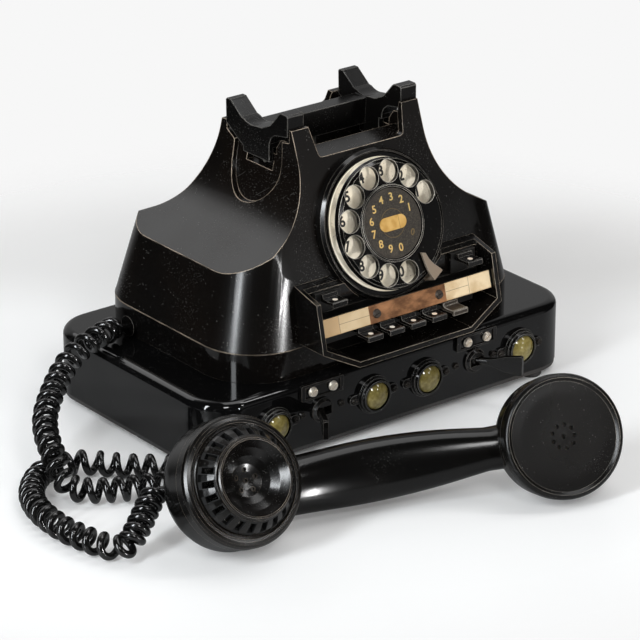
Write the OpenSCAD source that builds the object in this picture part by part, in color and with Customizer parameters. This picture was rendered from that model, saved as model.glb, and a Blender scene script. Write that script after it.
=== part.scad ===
/* [Plinth] */
// Half length of the flat plinth, left to right
plinth_half_x = 135; // [133:0.5:140]
// Half depth of the flat plinth, front to back
plinth_half_y = 82; // [81:0.5:84]
// Height of the plinth top above the base plate underside
plinth_top = 42; // [42:0.5:42.5]
// Corner radius of the plinth seen from above
plinth_corner = 25; // [18:0.5:28]
// Radius rolled along the top edge of the plinth
plinth_roll = 5; // [3:0.5:6]
// Wall thickness of the plinth case
plinth_wall = 4; // [3.5:0.5:4.5]
// Thickness of the base plate
plate_t = 2.5; // [2:0.5:2.5]
// Diameter of each rubber foot
foot_d = 13; // [10:0.5:16]
// Height of each rubber foot
foot_h = 4; // [3.5:0.25:4]

/* [Hood] */
// Half width of the hood where it meets its tray
hood_half_x = 106.8; // [104:0.2:107]
// Height of the seam between tray and hood
seam_z = 59.5; // [58:0.5:60]
// Wall thickness of the tray and of the hood
hood_wall = 4; // [3:0.25:4.5]
// Radius of the concave sweep from the shoulder to the saddle
sweep_r = 50; // [48:0.5:52]
// Lean of the front of the hood and of the dial, in degrees
front_lean = 19.4; // [19:0.1:20]
// Depth of the recess in each flank of the saddle
recess_depth = 3; // [2:0.25:3.2]

/* [Dial] */
// Step from the edge of the dial base in to the edge of the finger wheel
wheel_gap = 5.75; // [5:0.25:7]
// Width of the rim left outside the finger holes
finger_rim = 1.5; // [1.25:0.25:2.5]
// Width of the bar left between neighbouring finger holes
finger_web = 1.17; // [0.9:0.01:1.8]
// Angle between neighbouring finger holes
finger_step = 28.3; // [27:0.1:29]
// Outer diameter of the black dial base
dial_base_d = 88; // [87:0.5:90]
// Height of the finger wheel face above the hood
wheel_face = 14; // [13:0.25:15]

/* [Keys and lamps] */
// Distance between neighbouring lower keys
key_pitch = 15.7; // [14.5:0.1:16]
// Width of a key thumb tab
key_w = 10.5; // [9:0.25:11.5]
// Half width of the key housing
panel_half_x = 66; // [64:0.5:67]
// Diameter of a lamp lens
lens_d = 17; // [15:0.5:17.5]
// Diameter of a lamp bezel at its foot
bezel_d = 23.5; // [23:0.5:25]
// Length of a switch lever from its pivot
lever_len = 31; // [27:0.5:34]
// Lean of each lever away from the middle at rest
lever_lean = 32; // [28:0.5:33]

/* [Cradle] */
// Distance between the outer faces of the two forks
fork_span = 94; // [93.5:0.25:95]
// Down travel of the cradle under the handset
cradle_travel = 2.5; // [2:0.1:2.5]

/* [Handset] */
// Distance between the centres of the two caps
cap_spacing = 186; // [180:0.5:192]
// Diameter of the mouth cap
mouth_d = 73; // [72:0.5:73.5]
// Diameter of the ear cap
ear_d = 70.2; // [69.4:0.2:71]
// Number of slots round the mouth cap
slot_count = 22; // [16:1:24]

/* [Cord] */
// Outer diameter of the curled cord
coil_d = 15; // [14.4:0.1:15]
// Diameter of the cord itself
wire_d = 4.3; // [3.8:0.1:4.4]
// Number of curls in the cord
curl_count = 79; // [60:1:80]

/* [Hidden] */
hood_half_y = 74.45;
hood_mid_y = 1.05;
hood_corner = 36;
top_half_x = 78.1;
top_half_y = 53;
top_mid_y = -3.5;
top_corner = 27.8;
top_z = 180;
saddle_top = 176;
sweep_x = 96;
sweep_z = 160;
cavity_inset = 6.5;
back_r = 20;
back_c = [56.8, 130];
back_n1 = [0.9615, 0.2747];
back_n2 = [0.447, 0.894];
face_pt = [-46.4, 159];
wall_in = plinth_half_y - plinth_wall;
dial_at = [0, -61.8, 115.55];
wheel_d = dial_base_d - 2 * wheel_gap;
finger_half = sin(finger_step / 2);
finger_hole_d = (2 * finger_half * (wheel_d / 2 - finger_rim) - finger_web) / (1 + finger_half);
finger_pitch_r = wheel_d / 2 - finger_rim - finger_hole_d / 2;
hub_r = finger_pitch_r - finger_hole_d / 2 - 0.85;
ring_in = hub_r + 1.8;
dial_bore = dial_base_d / 2 - 14;
fit = 0.3;
lamp_x = [-91.5, -19.5, 19.5, 91.5];
lamp_z = 21.3;
lever_x = 57;
lever_z = 22;
pivot_y = 1.2 - plinth_half_y;
boss_x = plinth_half_x - 17;
boss_y = plinth_half_y - 18;
foot_x = plinth_half_x - 26;
foot_y = plinth_half_y - 8;
label_x = 57.5;
label_z = 35.7;
strip_at = [0, -89.65, 75];
strip_lean = 15.1;
strip_h = 10.4;
panel_wall = 3;
low_key = [-94.1, 66.5];
high_key = [-84.8, 89.2];
high_key_x = 49.9;
low_rod_y = -78.3;
high_rod_y = -77.4;
handset_at = [-166, -152, 35.2];
handset_turn = -20.2;
handset_tip = 65.6;
outlet_at = [-20, 0, -13];
outlet_turn = 240;
outlet_len = 19;
mouth_at = [-2.5, 0, 8.6];
mouth_lift = -5;
mouth_cant = 14.3;
gland_in = [34, 48.5];
gland_face_x = -110;
fork_in = 35.5;
gong_x = 24;
gong_y = 24;
clapper_y = 43.5;
tongue_in = 44;
ear_x = 14.8;
hub_x = 14.2;
screw_spots = [for (x = lamp_x, s = [-1, 1]) [x + s * ear_x, lamp_z, 0.9],
    for (m = [-1, 1], s = [-1, 1]) [m * lever_x + s * hub_x, lever_z, 0.9],
    for (m = [-1, 1], s = [-1, 1]) [m * label_x + s * 7.25, label_z, 1.2]];

function tz(t) = sweep_z - cos(30) * (sweep_r + t);
function tx(t) = sweep_x - sin(30) * (sweep_r + t);
function face_y(z) = face_pt[0] - (face_pt[1] - z) * tan(front_lean);
function hood_front(z) = -73.43 + (z - 59.5) * 0.1402;

module rounded(hx, hy, r) {
    square([2 * (hx - r), 2 * hy], center = true);
    square([2 * hx, 2 * (hy - r)], center = true);
    for (sx = [-1, 1], sy = [-1, 1])
        translate([sx * (hx - r), sy * (hy - r)]) circle(r, $fn = 64);
}

module sides() {
    children();
    mirror([1, 0, 0]) children();
}

module along_x(w) {
    rotate([90, 0, 90]) linear_extrude(w, center = true) children();
}

module at_dial() {
    translate(dial_at) rotate([90 - front_lean, 0, 0]) children();
}

module at_strip() {
    translate(strip_at) rotate([90 - strip_lean, 0, 0]) children();
}

module at_handset() {
    translate(handset_at) rotate([0, 0, handset_turn]) rotate([handset_tip, 0, 0]) children();
}

module at_mouth() {
    at_handset() translate(mouth_at) rotate([mouth_lift, 0, 0]) rotate([0, mouth_cant, 0])
        children();
}

module at_ear() {
    at_handset() translate([cap_spacing, 0, 0]) children();
}

// Section of one straight side of the plinth with its rolled top edge.
module rolled_bar(hx, hy, z0, z1, r) {
    rotate([90, 0, 90]) linear_extrude(2 * hx, center = true) union() {
        translate([-hy, z0]) square([2 * hy, z1 - r - z0]);
        translate([r - hy, z0]) square([2 * (hy - r), z1 - z0]);
        for (s = [-1, 1]) translate([s * (hy - r), z1 - r]) circle(r, $fn = 48);
    }
}

module rolled_block(hx, hy, c, z0, z1, r) {
    rolled_bar(hx - c, hy, z0, z1, r);
    rotate([0, 0, 90]) rolled_bar(hy - c, hx, z0, z1, r);
    for (sx = [-1, 1], sy = [-1, 1]) translate([sx * (hx - c), sy * (hy - c), 0])
        rotate_extrude($fn = 64) union() {
            translate([0, z0]) square([c, z1 - r - z0]);
            translate([0, z0]) square([c - r, z1 - z0]);
            intersection() {
                translate([c - r, z1 - r]) circle(r, $fn = 48);
                translate([c - r, z1 - r]) square(r);
            }
        }
}

// Hollow black case, open below, with the holes of the lamps and levers.
module plinth_case() color([0.06, 0.06, 0.065]) difference() {
    rolled_block(plinth_half_x, plinth_half_y, plinth_corner, plate_t, plinth_top, plinth_roll);
    difference() {
        translate([0, 0, plate_t - 1]) linear_extrude(plinth_top - plate_t - 3)
            rounded(plinth_half_x - plinth_wall, wall_in, plinth_corner - plinth_wall);
        for (sx = [-1, 1], sy = [-1, 1]) translate([sx * boss_x, sy * boss_y, 0])
            cylinder(h = 60, r = 6, $fn = 32);
    }
    for (sx = [-1, 1], sy = [-1, 1]) translate([sx * boss_x, sy * boss_y, 0])
        cylinder(h = 20, r = 1.9, $fn = 24);
    for (x = lamp_x) translate([x, 0, lamp_z]) rotate([90, 0, 0])
        cylinder(h = plinth_half_y + 18, r = 6, $fn = 32);
    sides() translate([lever_x, 0, lever_z]) {
        translate([-4.9, -plinth_half_y - 8, -2.7]) cube([9.8, 20, 5.4]);
        translate([0, pivot_y, -4.4]) cylinder(h = 8.8, r = 0.9, $fn = 16);
    }
    translate([0, 20, 20]) cylinder(h = 40, r = 14, $fn = 48);
    for (s = [-1, 1]) translate([s * 70, 0, 30]) cylinder(h = 20, r = 1.9, $fn = 24);
    translate([0, plinth_half_y + 8, 14]) rotate([90, 0, 0]) cylinder(h = 20, r = 4.6, $fn = 32);
    for (p = screw_spots) translate([p[0], -plinth_half_y - 1, p[1]]) rotate([-90, 0, 0])
        cylinder(h = 10, r = p[2], $fn = 16);
}

// Thin plate that closes the case from below, with a round seat inside a pressed groove.
module bottom_plate() color([0.1, 0.1, 0.1]) difference() {
    linear_extrude(plate_t)
        rounded(plinth_half_x - 0.5, plinth_half_y - 0.5, plinth_corner - 0.5);
    rotate_extrude($fn = 96) translate([30, -1]) square([3, 1.6]);
    for (sx = [-1, 1], sy = [-1, 1]) translate([sx * boss_x, sy * boss_y, -1])
        cylinder(h = 9, r = 2.3, $fn = 24);
}

module rubber_feet() color([0.09, 0.09, 0.09])
    for (sx = [-1, 1], sy = [-1, 1]) translate([sx * foot_x, sy * foot_y, -foot_h]) {
        cylinder(h = 1, r1 = foot_d / 2 - 0.8, r2 = foot_d / 2, $fn = 40);
        translate([0, 0, 1]) cylinder(h = foot_h - 1, r = foot_d / 2, $fn = 40);
    }

module plate_screws() color([0.6, 0.6, 0.6])
    for (sx = [-1, 1], sy = [-1, 1]) translate([sx * boss_x, sy * boss_y, 0]) {
        translate([0, 0, -2]) cylinder(h = 2, r = 3.6, $fn = 32);
        cylinder(h = 14, r = 1.6, $fn = 20);
    }

// Shallow upright tray that carries the hood.
module hood_skirt() color([0.05, 0.05, 0.055]) difference() {
    translate([0, 1, plinth_top]) linear_extrude(seam_z - plinth_top) rounded(107, 74.5, 36);
    translate([0, 1, plinth_top + 3]) linear_extrude(40)
        rounded(107 - hood_wall, 74.5 - hood_wall, 36 - hood_wall);
    translate([0, 20, 30]) cylinder(h = 30, r = 14, $fn = 48);
    translate([-120, gland_in[0], gland_in[1]]) rotate([0, 90, 0]) cylinder(h = 30, r = 4.6, $fn = 32);
    for (s = [-1, 1]) translate([s * 70, 0, 30]) cylinder(h = 40, r = 1.9, $fn = 24);
}

module hood_screws() color([0.6, 0.6, 0.6])
    for (s = [-1, 1]) translate([s * 70, 0, plinth_top + 3]) {
        cylinder(h = 2.4, r = 3.8, $fn = 32);
        translate([0, 0, -5]) cylinder(h = 5, r = 1.6, $fn = 20);
    }

// Outline of the hood seen from the front, moved inward by t.
module front_outline(t) difference() {
    polygon([[-tx(t) - 52, 40], [tx(t) + 52, 40], [tx(t) + 52, tz(t) - 30], [tx(t), tz(t)],
        [sweep_x - sweep_r - t, sweep_z], [sweep_x - sweep_r - t, top_z + 9],
        [sweep_r + t - sweep_x, top_z + 9], [sweep_r + t - sweep_x, sweep_z],
        [-tx(t), tz(t)], [-tx(t) - 52, tz(t) - 30]]);
    for (s = [-1, 1]) translate([s * sweep_x, sweep_z]) circle(sweep_r + t, $fn = 160);
}

// Outline of the hood seen from the side, moved inward by t.
module side_outline(t) {
    r = back_r + t;
    t1 = back_c - r * back_n1;
    t2 = back_c - r * back_n2;
    c = t / cos(front_lean);
    difference() {
        polygon([[face_y(40) + c, 40], [face_y(saddle_top - t) + c, saddle_top - t],
            t1 + [-0.2747, 0.9615] * (saddle_top - t - t1[1]) / 0.9615, t1, t2,
            t2 + [0.894, -0.447] * 50, [t2[0] + 44.7, 40]]);
        translate(back_c) circle(r, $fn = 80);
    }
}

module hood_body(t) intersection() {
    hull() {
        translate([0, hood_mid_y, seam_z - (t > 0 ? 1 : 0)]) linear_extrude(0.01)
            rounded(hood_half_x - t, hood_half_y - t, hood_corner - t);
        translate([0, top_mid_y, top_z]) linear_extrude(0.01)
            rounded(top_half_x - t, top_half_y - t, top_corner - t);
    }
    rotate([90, 0, 0]) linear_extrude(300, center = true)
        front_outline(t > 0 ? cavity_inset : 0);
    along_x(400) side_outline(t);
}

// Tapered hood with the open saddle on top and the recess in each flank.
module hood_shell() color([0.05, 0.05, 0.055]) difference() {
    hood_body(0);
    intersection() {
        hood_body(hood_wall);
        along_x(400) polygon([[-150, 0], [-150, 155], [-31.5, 155], [-31.5, 137.5],
            [150, 137.5], [150, 0]]);
    }
    difference() {
        along_x(200) {
            translate([-9, 150]) circle(22.5, $fn = 64);
            polygon([[-31.5, 149], [-31.5, 190], [14, 190], [13.5, 149]]);
        }
        rotate([90, 0, 0]) linear_extrude(300, center = true) front_outline(recess_depth);
    }
    along_x(200) polygon([[-38.2, 200], [-38.2, 168.2], [-26.5, 166], [-22.5, 160.5],
        [-22.5, 156.5], [14, 156.5], [20.8, 160.5], [20.8, 200]]);
    translate([-100, 20, 166]) cube([200, 30, 40]);
    along_x(79) polygon([[-28, 141], [28.6, 141], [21.4, 166.2], [20.8, 200], [-28, 200]]);
    along_x(79) polygon([[face_y(158.7) + 4.2, 158.7], [face_y(180) + 4.2, 180],
        [-20, 180], [-20, 158.7]]);
    rotate([90, 0, 0]) linear_extrude(140, center = true) window();
    sides() translate([30, -12 - 8.6, 146.4]) cube([30, 24.6, 5.6]);
    translate([0, 0, 120]) cylinder(h = 40, r = 2.9, $fn = 32);
    at_dial() translate([0, 0, -12]) cylinder(h = 30, r = dial_bore, $fn = 80);
}

// Opening of the saddle seen from the front, with round lower corners.
module window() {
    polygon([[-34, 200], [-34, 176], [-31.2, 161.7], [31.2, 161.7], [34, 176], [34, 200]]);
    translate([-28.2, 158.7]) square([56.4, 4]);
    for (s = [-1, 1]) translate([s * 28.2, 161.7]) circle(3, $fn = 32);
}

// Stepped bezel of each lamp with an ear at either side.
module lamp_bezels() color([0.05, 0.05, 0.05])
    for (x = lamp_x) translate([x, -plinth_half_y, lamp_z]) rotate([90, 0, 0]) difference() {
        union() {
            cylinder(h = 1.8, r = bezel_d / 2, $fn = 64);
            translate([0, 0, 1.8]) cylinder(h = 1.6, r = bezel_d / 2 - 1, $fn = 64);
            translate([0, 0, 3.4]) cylinder(h = 1.8, r1 = bezel_d / 2 - 1.6, r2 = 9.6, $fn = 64);
            translate([-ear_x, -2.9, 0]) cube([2 * ear_x, 5.8, 1.4]);
            for (s = [-1, 1]) translate([s * ear_x, 0, 0]) cylinder(h = 1.4, r = 2.9, $fn = 32);
        }
        translate([0, 0, -1]) cylinder(h = 9, r = lens_d / 2 + 0.15, $fn = 48);
        translate([0, 0, -1]) cylinder(h = 2, r = 9.6, $fn = 48);
        for (s = [-1, 1]) translate([s * ear_x, 0, -1]) cylinder(h = 4, r = 0.95, $fn = 16);
    }

// Domed lens with a small flange behind it.
module lamp_lenses() color([0.55, 0.5, 0.24])
    for (x = lamp_x) translate([x, -plinth_half_y, lamp_z]) rotate([90, 0, 0]) {
        cylinder(h = 0.8, r = 9.4, $fn = 48);
        cylinder(h = 4, r = lens_d / 2, $fn = 48);
        intersection() {
            translate([0, 0, 4 - 11.5]) sphere(14.3, $fn = 64);
            translate([0, 0, 4]) cylinder(h = 9, r = lens_d / 2, $fn = 48);
        }
    }

module lamp_sockets() color([0.7, 0.6, 0.3])
    for (x = lamp_x) translate([x, -wall_in, lamp_z]) rotate([-90, 0, 0]) difference() {
        union() {
            cylinder(h = 1.2, r = 9, $fn = 40);
            cylinder(h = 17, r = 6, $fn = 40);
        }
        translate([0, 0, -1]) cylinder(h = 15, r = 5, $fn = 40);
    }

module lamp_bulbs() color([0.9, 0.85, 0.7])
    for (x = lamp_x) translate([x, -wall_in, lamp_z]) rotate([-90, 0, 0]) {
        translate([0, 0, 5]) cylinder(h = 9, r = 3.8, $fn = 32);
        translate([0, 0, 5]) sphere(4.4, $fn = 32);
    }

// Small black screws in the lamp ears and beside the switch collars.
module front_screws() color([0.08, 0.08, 0.08])
    for (i = [0 : 11]) translate([screw_spots[i][0], -plinth_half_y, screw_spots[i][1]])
        rotate([90, 0, 0]) translate([0, 0, i < 8 ? 1.4 : 0]) difference() {
            union() {
                cylinder(h = 1.5, r1 = 2.2, r2 = 1.7, $fn = 24);
                translate([0, 0, -6]) cylinder(h = 6, r = 0.8, $fn = 16);
            }
            translate([-3, -0.3, 0.9]) cube([6, 0.6, 2]);
        }

module label_screws() color([0.8, 0.78, 0.7])
    for (i = [12 : 15]) translate([screw_spots[i][0], -plinth_half_y, screw_spots[i][1]])
        rotate([90, 0, 0]) translate([0, 0, 2]) difference() {
            union() {
                cylinder(h = 1.5, r1 = 3, r2 = 2.5, $fn = 32);
                translate([0, 0, -7]) cylinder(h = 7, r = 1.1, $fn = 16);
            }
            rotate([0, 0, 35]) translate([-4, -0.4, 0.8]) cube([8, 0.8, 2]);
        }

// Small black holders for the lamp labels.
module label_holders() color([0.05, 0.05, 0.05]) sides()
    translate([label_x, -plinth_half_y, label_z]) rotate([90, 0, 0]) difference() {
        union() {
            linear_extrude(1.2) rounded(15.2, 4.75, 1);
            linear_extrude(2) difference() {
                rounded(15.2, 4.75, 1);
                translate([-12.6, -3.4]) square([25.2, 6.8]);
            }
            for (s = [-1, 1]) translate([s * 7.25, 0, 0]) cylinder(h = 2, r = 3.2, $fn = 32);
        }
        for (s = [-1, 1]) translate([s * 7.25, 0, -1]) cylinder(h = 5, r = 1.25, $fn = 20);
    }

// Domed collar that each switch lever comes out of.
module switch_collars() color([0.05, 0.05, 0.05]) sides()
    translate([lever_x, -plinth_half_y, lever_z]) rotate([90, 0, 0]) difference() {
        union() {
            cylinder(h = 1.4, r = 7.6, $fn = 48);
            translate([0, 0, 1.4]) cylinder(h = 1.8, r1 = 7, r2 = 5.8, $fn = 48);
        }
        translate([-4.9, -2.7, -1]) cube([9.8, 5.4, 9]);
    }

module switch_bodies() color([0.35, 0.22, 0.12]) sides()
    translate([lever_x - 11, -wall_in, lever_z - 10]) difference() {
        cube([22, 26, 20]);
        translate([5, -1, 7]) cube([12, 4, 6]);
    }

// Lever with a barrel, two small trunnions and a flared paddle.
module switch_lever() color([0.05, 0.05, 0.05])
    translate([lever_x, pivot_y, lever_z]) rotate([0, 0, lever_lean]) {
        translate([0, 0, -2.4]) cylinder(h = 4.8, r = 2.4, $fn = 32);
        translate([0, 0, -4.2]) cylinder(h = 8.4, r = 0.7, $fn = 16);
        translate([0, -1.5, 0]) rotate([90, 0, 0]) cylinder(h = 8, r = 1.8, $fn = 32);
        difference() {
            translate([-1.5, 0, 0]) rotate([90, 0, 90]) linear_extrude(3) union() {
                polygon([[-5, -1.8], [-9, -1.8], [-14, -2.6], [-20, -4.6], [1 - lever_len, -6.2],
                    [-lever_len, -5.4], [-lever_len, 5.4], [1 - lever_len, 6.2],
                    [-20, 4.6], [-14, 2.6], [-9, 1.8], [-5, 1.8]]);
            }
            translate([0, 0, -20]) cylinder(h = 40, r = 4.6, $fn = 32);
        }
    }

module lever_right() switch_lever();

module lever_left() mirror([1, 0, 0]) switch_lever();

// Black base of the dial with a spigot through the hood.
module dial_base() color([0.05, 0.05, 0.05]) at_dial() rotate_extrude($fn = 120)
    polygon([[4.1, -6], [dial_bore - fit, -6], [dial_bore - fit, 0], [dial_base_d / 2, 0],
        [dial_base_d / 2, 4.5], [dial_base_d / 2 - 1.6, 6.4], [dial_base_d / 2 - 2.4, 6.4],
        [dial_base_d / 2 - 2.7, 4.6], [dial_base_d / 2 - 2.7, 4], [ring_in - 0.2, 4],
        [ring_in - 2.2, 2.5], [4.1, 2.5]]);

module number_ring() color([0.86, 0.82, 0.7]) at_dial() translate([0, 0, 4])
    rotate_extrude($fn = 120) translate([ring_in, 0]) square([dial_base_d / 2 - 3 - ring_in, 1.4]);

// Finger wheel with ten holes and a hub that sits on the shaft.
module finger_wheel() color([0.05, 0.05, 0.05]) at_dial() difference() {
    rotate_extrude($fn = 120) polygon([[3.2, 6], [9, 6], [9, 10], [hub_r - 2.4, wheel_face - 3],
        [wheel_d / 2 - 4, wheel_face - 3], [wheel_d / 2 - 1.6, wheel_face - 4.6],
        [wheel_d / 2, wheel_face - 3.6], [wheel_d / 2 - 1, wheel_face - 1],
        [wheel_d / 2 - 3, wheel_face], [hub_r, wheel_face], [hub_r - 0.4, wheel_face + 0.9],
        [hub_r - 1.5, wheel_face + 0.9], [hub_r - 1.8, wheel_face - 0.6],
        [3.2, wheel_face - 0.6]]);
    for (i = [0 : 9]) rotate([0, 0, 24.2 + i * finger_step]) translate([finger_pitch_r, 0, 0])
        cylinder(h = 30, r = finger_hole_d / 2, $fn = 48);
}

module dial_card() color([0.05, 0.05, 0.05]) at_dial()
    translate([0, 0, wheel_face - 0.6]) cylinder(h = 0.8, r = hub_r - 2.1, $fn = 80);

module card_plate() color([0.72, 0.56, 0.26]) at_dial()
    translate([0, 0, wheel_face + 0.2]) linear_extrude(0.6) union() {
        square([11, 8], center = true);
        for (s = [-1, 1]) translate([s * 5.5, 0]) circle(4, $fn = 40);
    }

// Outline of the blade: share of the way from the hub to the edge of the base, and angle.
blade = [[0.1225, -55.74], [0.2327, -51.96], [0.4113, -53.97], [0.6002, -53.97], [0.7741, -52.9],
    [0.9522, -52.09], [0.9527, -63.02], [0.7353, -63.3], [0.5142, -62.06], [0.3103, -59.21]];

// Curved blade that stops the finger, on a leg outside the wheel.
module finger_stop() color([0.62, 0.6, 0.58]) at_dial() {
    translate([0, 0, wheel_face + 1]) linear_extrude(1.6)
        polygon([for (b = blade) (hub_r + b[0] * (dial_base_d / 2 - hub_r)) * [cos(b[1]), sin(b[1])]]);
    rotate([0, 0, -57.8]) translate([dial_base_d / 2 - 2.4, -3.6, 6.4])
        cube([1.5, 7.2, wheel_face - 4.4]);
}

module dial_shaft() color([0.6, 0.6, 0.6]) at_dial() translate([0, 0, -22])
    cylinder(h = wheel_face + 21.4, r = 3.2, $fn = 32);

// Closed can behind the dial with the spring and the governor.
module dial_mechanism() color([0.5, 0.48, 0.44]) at_dial() difference() {
    union() {
        translate([0, 0, -24]) cylinder(h = 18, r = dial_bore - 3, $fn = 64);
        translate([10, -8, -30]) cylinder(h = 6, r = 9, $fn = 40);
    }
    translate([0, 0, -22.4]) cylinder(h = 30, r = 3.5, $fn = 32);
}

// Outline of the key housing seen from the side.
module panel_side() polygon([[hood_front(95.8), 95.8], [-89, 90.4], [-98.4, 49.5],
    [-73.5, 49.5], [-73.5, 59.5], [hood_front(59.5), 59.5]]);

module panel_front(t) polygon([[-42 + t * 0.3, 49.5 + t], [42 - t * 0.3, 49.5 + t],
    [panel_half_x - t, 62 + t * 0.7], [panel_half_x - t, 99], [t - panel_half_x, 99],
    [t - panel_half_x, 62 + t * 0.7]]);

// Open housing on the front of the hood that the keys sit in.
module key_panel_frame() color([0.05, 0.05, 0.055]) difference() {
    intersection() {
        along_x(200) panel_side();
        rotate([90, 0, 0]) linear_extrude(240, center = true) panel_front(0);
    }
    intersection() {
        rotate([90, 0, 0]) linear_extrude(240, center = true) panel_front(panel_wall);
        along_x(200) polygon([[-76, 92.4], [-73.2, 94.6], [-73.2, 110], [-104, 110], [-104, 40],
            [-76, 40]]);
    }
    dial_room();
}

// Room that the dial base takes out of the housing and the key block.
module dial_room() at_dial() translate([0, 0, -6.2])
    cylinder(h = 46, r = dial_base_d / 2 + fit, $fn = 120);

// Block behind the strip that guides the seven keys.
module key_bank() color([0.07, 0.07, 0.07]) difference() {
    union() {
        translate([-56, -81, 61]) cube([112, 5, 12]);
        sides() translate([high_key_x - 9, -78.7, 76]) cube([18, 2.7, 16]);
        translate([-60, -79, 72]) cube([120, 3, 8]);
        for (s = [-1, 1]) translate([s * 23, 0, 0]) at_strip() translate([0, 0, -12.3])
            cylinder(h = 9.5, r = 3, $fn = 32);
    }
    dial_room();
    for (i = [-2 : 2]) translate([i * key_pitch - 3.3, -90, low_key[1] - 2.9])
        cube([6.6, 30, 3.8]);
    sides() translate([high_key_x - 3.3, -90, high_key[1] - 2.9]) cube([6.6, 30, 3.8]);
    translate([-70, low_rod_y, low_key[1] - 1]) rotate([0, 90, 0])
        cylinder(h = 140, r = 0.9, $fn = 20);
    translate([-70, high_rod_y, high_key[1] - 1]) rotate([0, 90, 0])
        cylinder(h = 140, r = 0.9, $fn = 20);
    for (s = [-1, 1]) translate([s * 23, 0, 0]) at_strip() translate([0, 0, -12])
        cylinder(h = 20, r = 1, $fn = 20);
}

module key_rods() color([0.7, 0.7, 0.7]) {
    translate([-36, low_rod_y, low_key[1] - 1]) rotate([0, 90, 0])
        cylinder(h = 72, r = 0.8, $fn = 20);
    sides() translate([high_key_x - 8.6, high_rod_y, high_key[1] - 1]) rotate([0, 90, 0])
        cylinder(h = 17.2, r = 0.8, $fn = 20);
}

// Key seen from the side: thumb plate, front lip, back ridge and stem.
module key_side(back) polygon([[-5.6, -2.7], [-4.2, -2.7], [-4.2, -1.6], [4, -2], [back, -2],
    [back, 0], [5.6, 0], [5.6, 2.3], [4.2, 2.3], [3.6, 0.2], [2.6, 0], [-3.8, 0], [-4.2, 0.4],
    [-5.2, 0.4], [-5.6, 0]]);

// One sprung key on its rod, at x with its thumb dot at the point p.
module key_at(x, p, rod_y) translate([x, 0, 0]) difference() {
    translate([0, p[0], p[1]]) {
        along_x(key_w) intersection() {
            key_side(20);
            translate([-8, -4]) square([13.6, 9]);
        }
        along_x(6) key_side(rod_y - p[0] + 1.2);
    }
    translate([-9, rod_y, p[1] - 1]) rotate([0, 90, 0]) cylinder(h = 18, r = 0.95, $fn = 20);
}

module key_1() color([0.07, 0.07, 0.07]) key_at(-2 * key_pitch, low_key, low_rod_y);

module key_2() color([0.07, 0.07, 0.07]) key_at(-key_pitch, low_key, low_rod_y);

module key_3() color([0.07, 0.07, 0.07]) key_at(0, low_key, low_rod_y);

module key_4() color([0.07, 0.07, 0.07]) key_at(key_pitch, low_key, low_rod_y);

module key_5() color([0.3, 0.29, 0.27]) key_at(2 * key_pitch, low_key, low_rod_y);

module key_left() color([0.07, 0.07, 0.07]) key_at(-high_key_x, high_key, high_rod_y);

module key_right() color([0.07, 0.07, 0.07]) key_at(high_key_x, high_key, high_rod_y);

// Carrier of the copper plate and of the two papers, end to end in the housing.
module strip_carrier() color([0.06, 0.06, 0.06]) at_strip() difference() {
    translate([0, 0, -2.8]) linear_extrude(2)
        square([2 * (panel_half_x - panel_wall), strip_h], center = true);
    for (s = [-1, 1]) translate([s * 23, 0, -5]) cylinder(h = 9, r = 1.1, $fn = 20);
}

module copper_strip() color([0.6, 0.36, 0.2]) at_strip() difference() {
    translate([0, 0, -0.8]) linear_extrude(0.8) square([56, strip_h], center = true);
    for (s = [-1, 1]) translate([s * 23, 0, -5]) cylinder(h = 9, r = 1.1, $fn = 20);
}

module paper_strips() color([0.9, 0.8, 0.6]) at_strip() sides()
    translate([28, -strip_h / 2, -0.8]) cube([panel_half_x - panel_wall - 29, strip_h, 0.4]);

module strip_screws() color([0.15, 0.14, 0.13]) at_strip()
    for (s = [-1, 1]) translate([s * 23, 0, 0]) difference() {
        union() {
            cylinder(h = 1.3, r1 = 2.8, r2 = 2.2, $fn = 32);
            translate([0, 0, -9]) cylinder(h = 9, r = 0.9, $fn = 16);
        }
        rotate([0, 0, 20]) translate([-4, -0.35, 0.7]) cube([8, 0.7, 2]);
    }

// Outer face of a fork, with the tongue that runs in the flank recess.
module fork_outer() difference() {
    polygon([[20, 165], [20.3, 179], [19.3, 180], [16, 180], [15, 179.2], [5.5, 172.2], [-4.6, 170.2],
        [-14, 171], [-21.7, 174.6], [-25.5, 178.4], [-30, 183.4], [-31.5, 184.5], [-37, 184.5],
        [-38, 183.5], [-38, 171.7], [-26, 169.5], [-22.6, 167], [-20.6, 163], [-20.6, 152],
        [4, 152], [4, 155]]);
    translate([-4, 184.6]) circle(14.6, $fn = 80);
}

module fork_inner() difference() {
    fork_outer();
    translate([-22.5, 140]) square([36.5, 20]);
}

// Two forks joined by a bar, with a guide leg inside each flank.
module cradle() color([0.05, 0.05, 0.055]) difference() {
    union() {
        sides() translate([(fork_span / 2 + tongue_in) / 2, 0, 0])
            along_x(fork_span / 2 - tongue_in) fork_outer();
        sides() translate([(tongue_in + fork_in) / 2, 0, 0]) along_x(tongue_in - fork_in) fork_inner();
        translate([0, 0, 0]) along_x(2 * fork_in) polygon([[-5, 153], [5, 153], [5.6, 167],
            [4, 169.4], [-6, 169.4], [-6, 167]]);
        sides() translate([fork_in, -18, 147.5]) cube([3.6, 18, 14]);
    }
    sides() translate([30, -12.7, 150.4]) rotate([0, 90, 0]) cylinder(h = 10, r = 1.3, $fn = 20);
}

module cradle_pins() color([0.75, 0.75, 0.75]) sides()
    translate([fork_in, -12.7, 150.4]) rotate([0, 90, 0]) cylinder(h = 9, r = 1.2, $fn = 20);

module hook_plunger() color([0.7, 0.7, 0.7]) translate([0, 0, 124])
    cylinder(h = 29, r = 2.5, $fn = 32);

// Contact block under the saddle, worked by the plunger.
module hook_switch() color([0.4, 0.25, 0.14]) difference() {
    translate([-14, -9, 116]) cube([28, 18, 21.5]);
    translate([0, 0, 119]) cylinder(h = 30, r = 2.9, $fn = 32);
}

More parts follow.
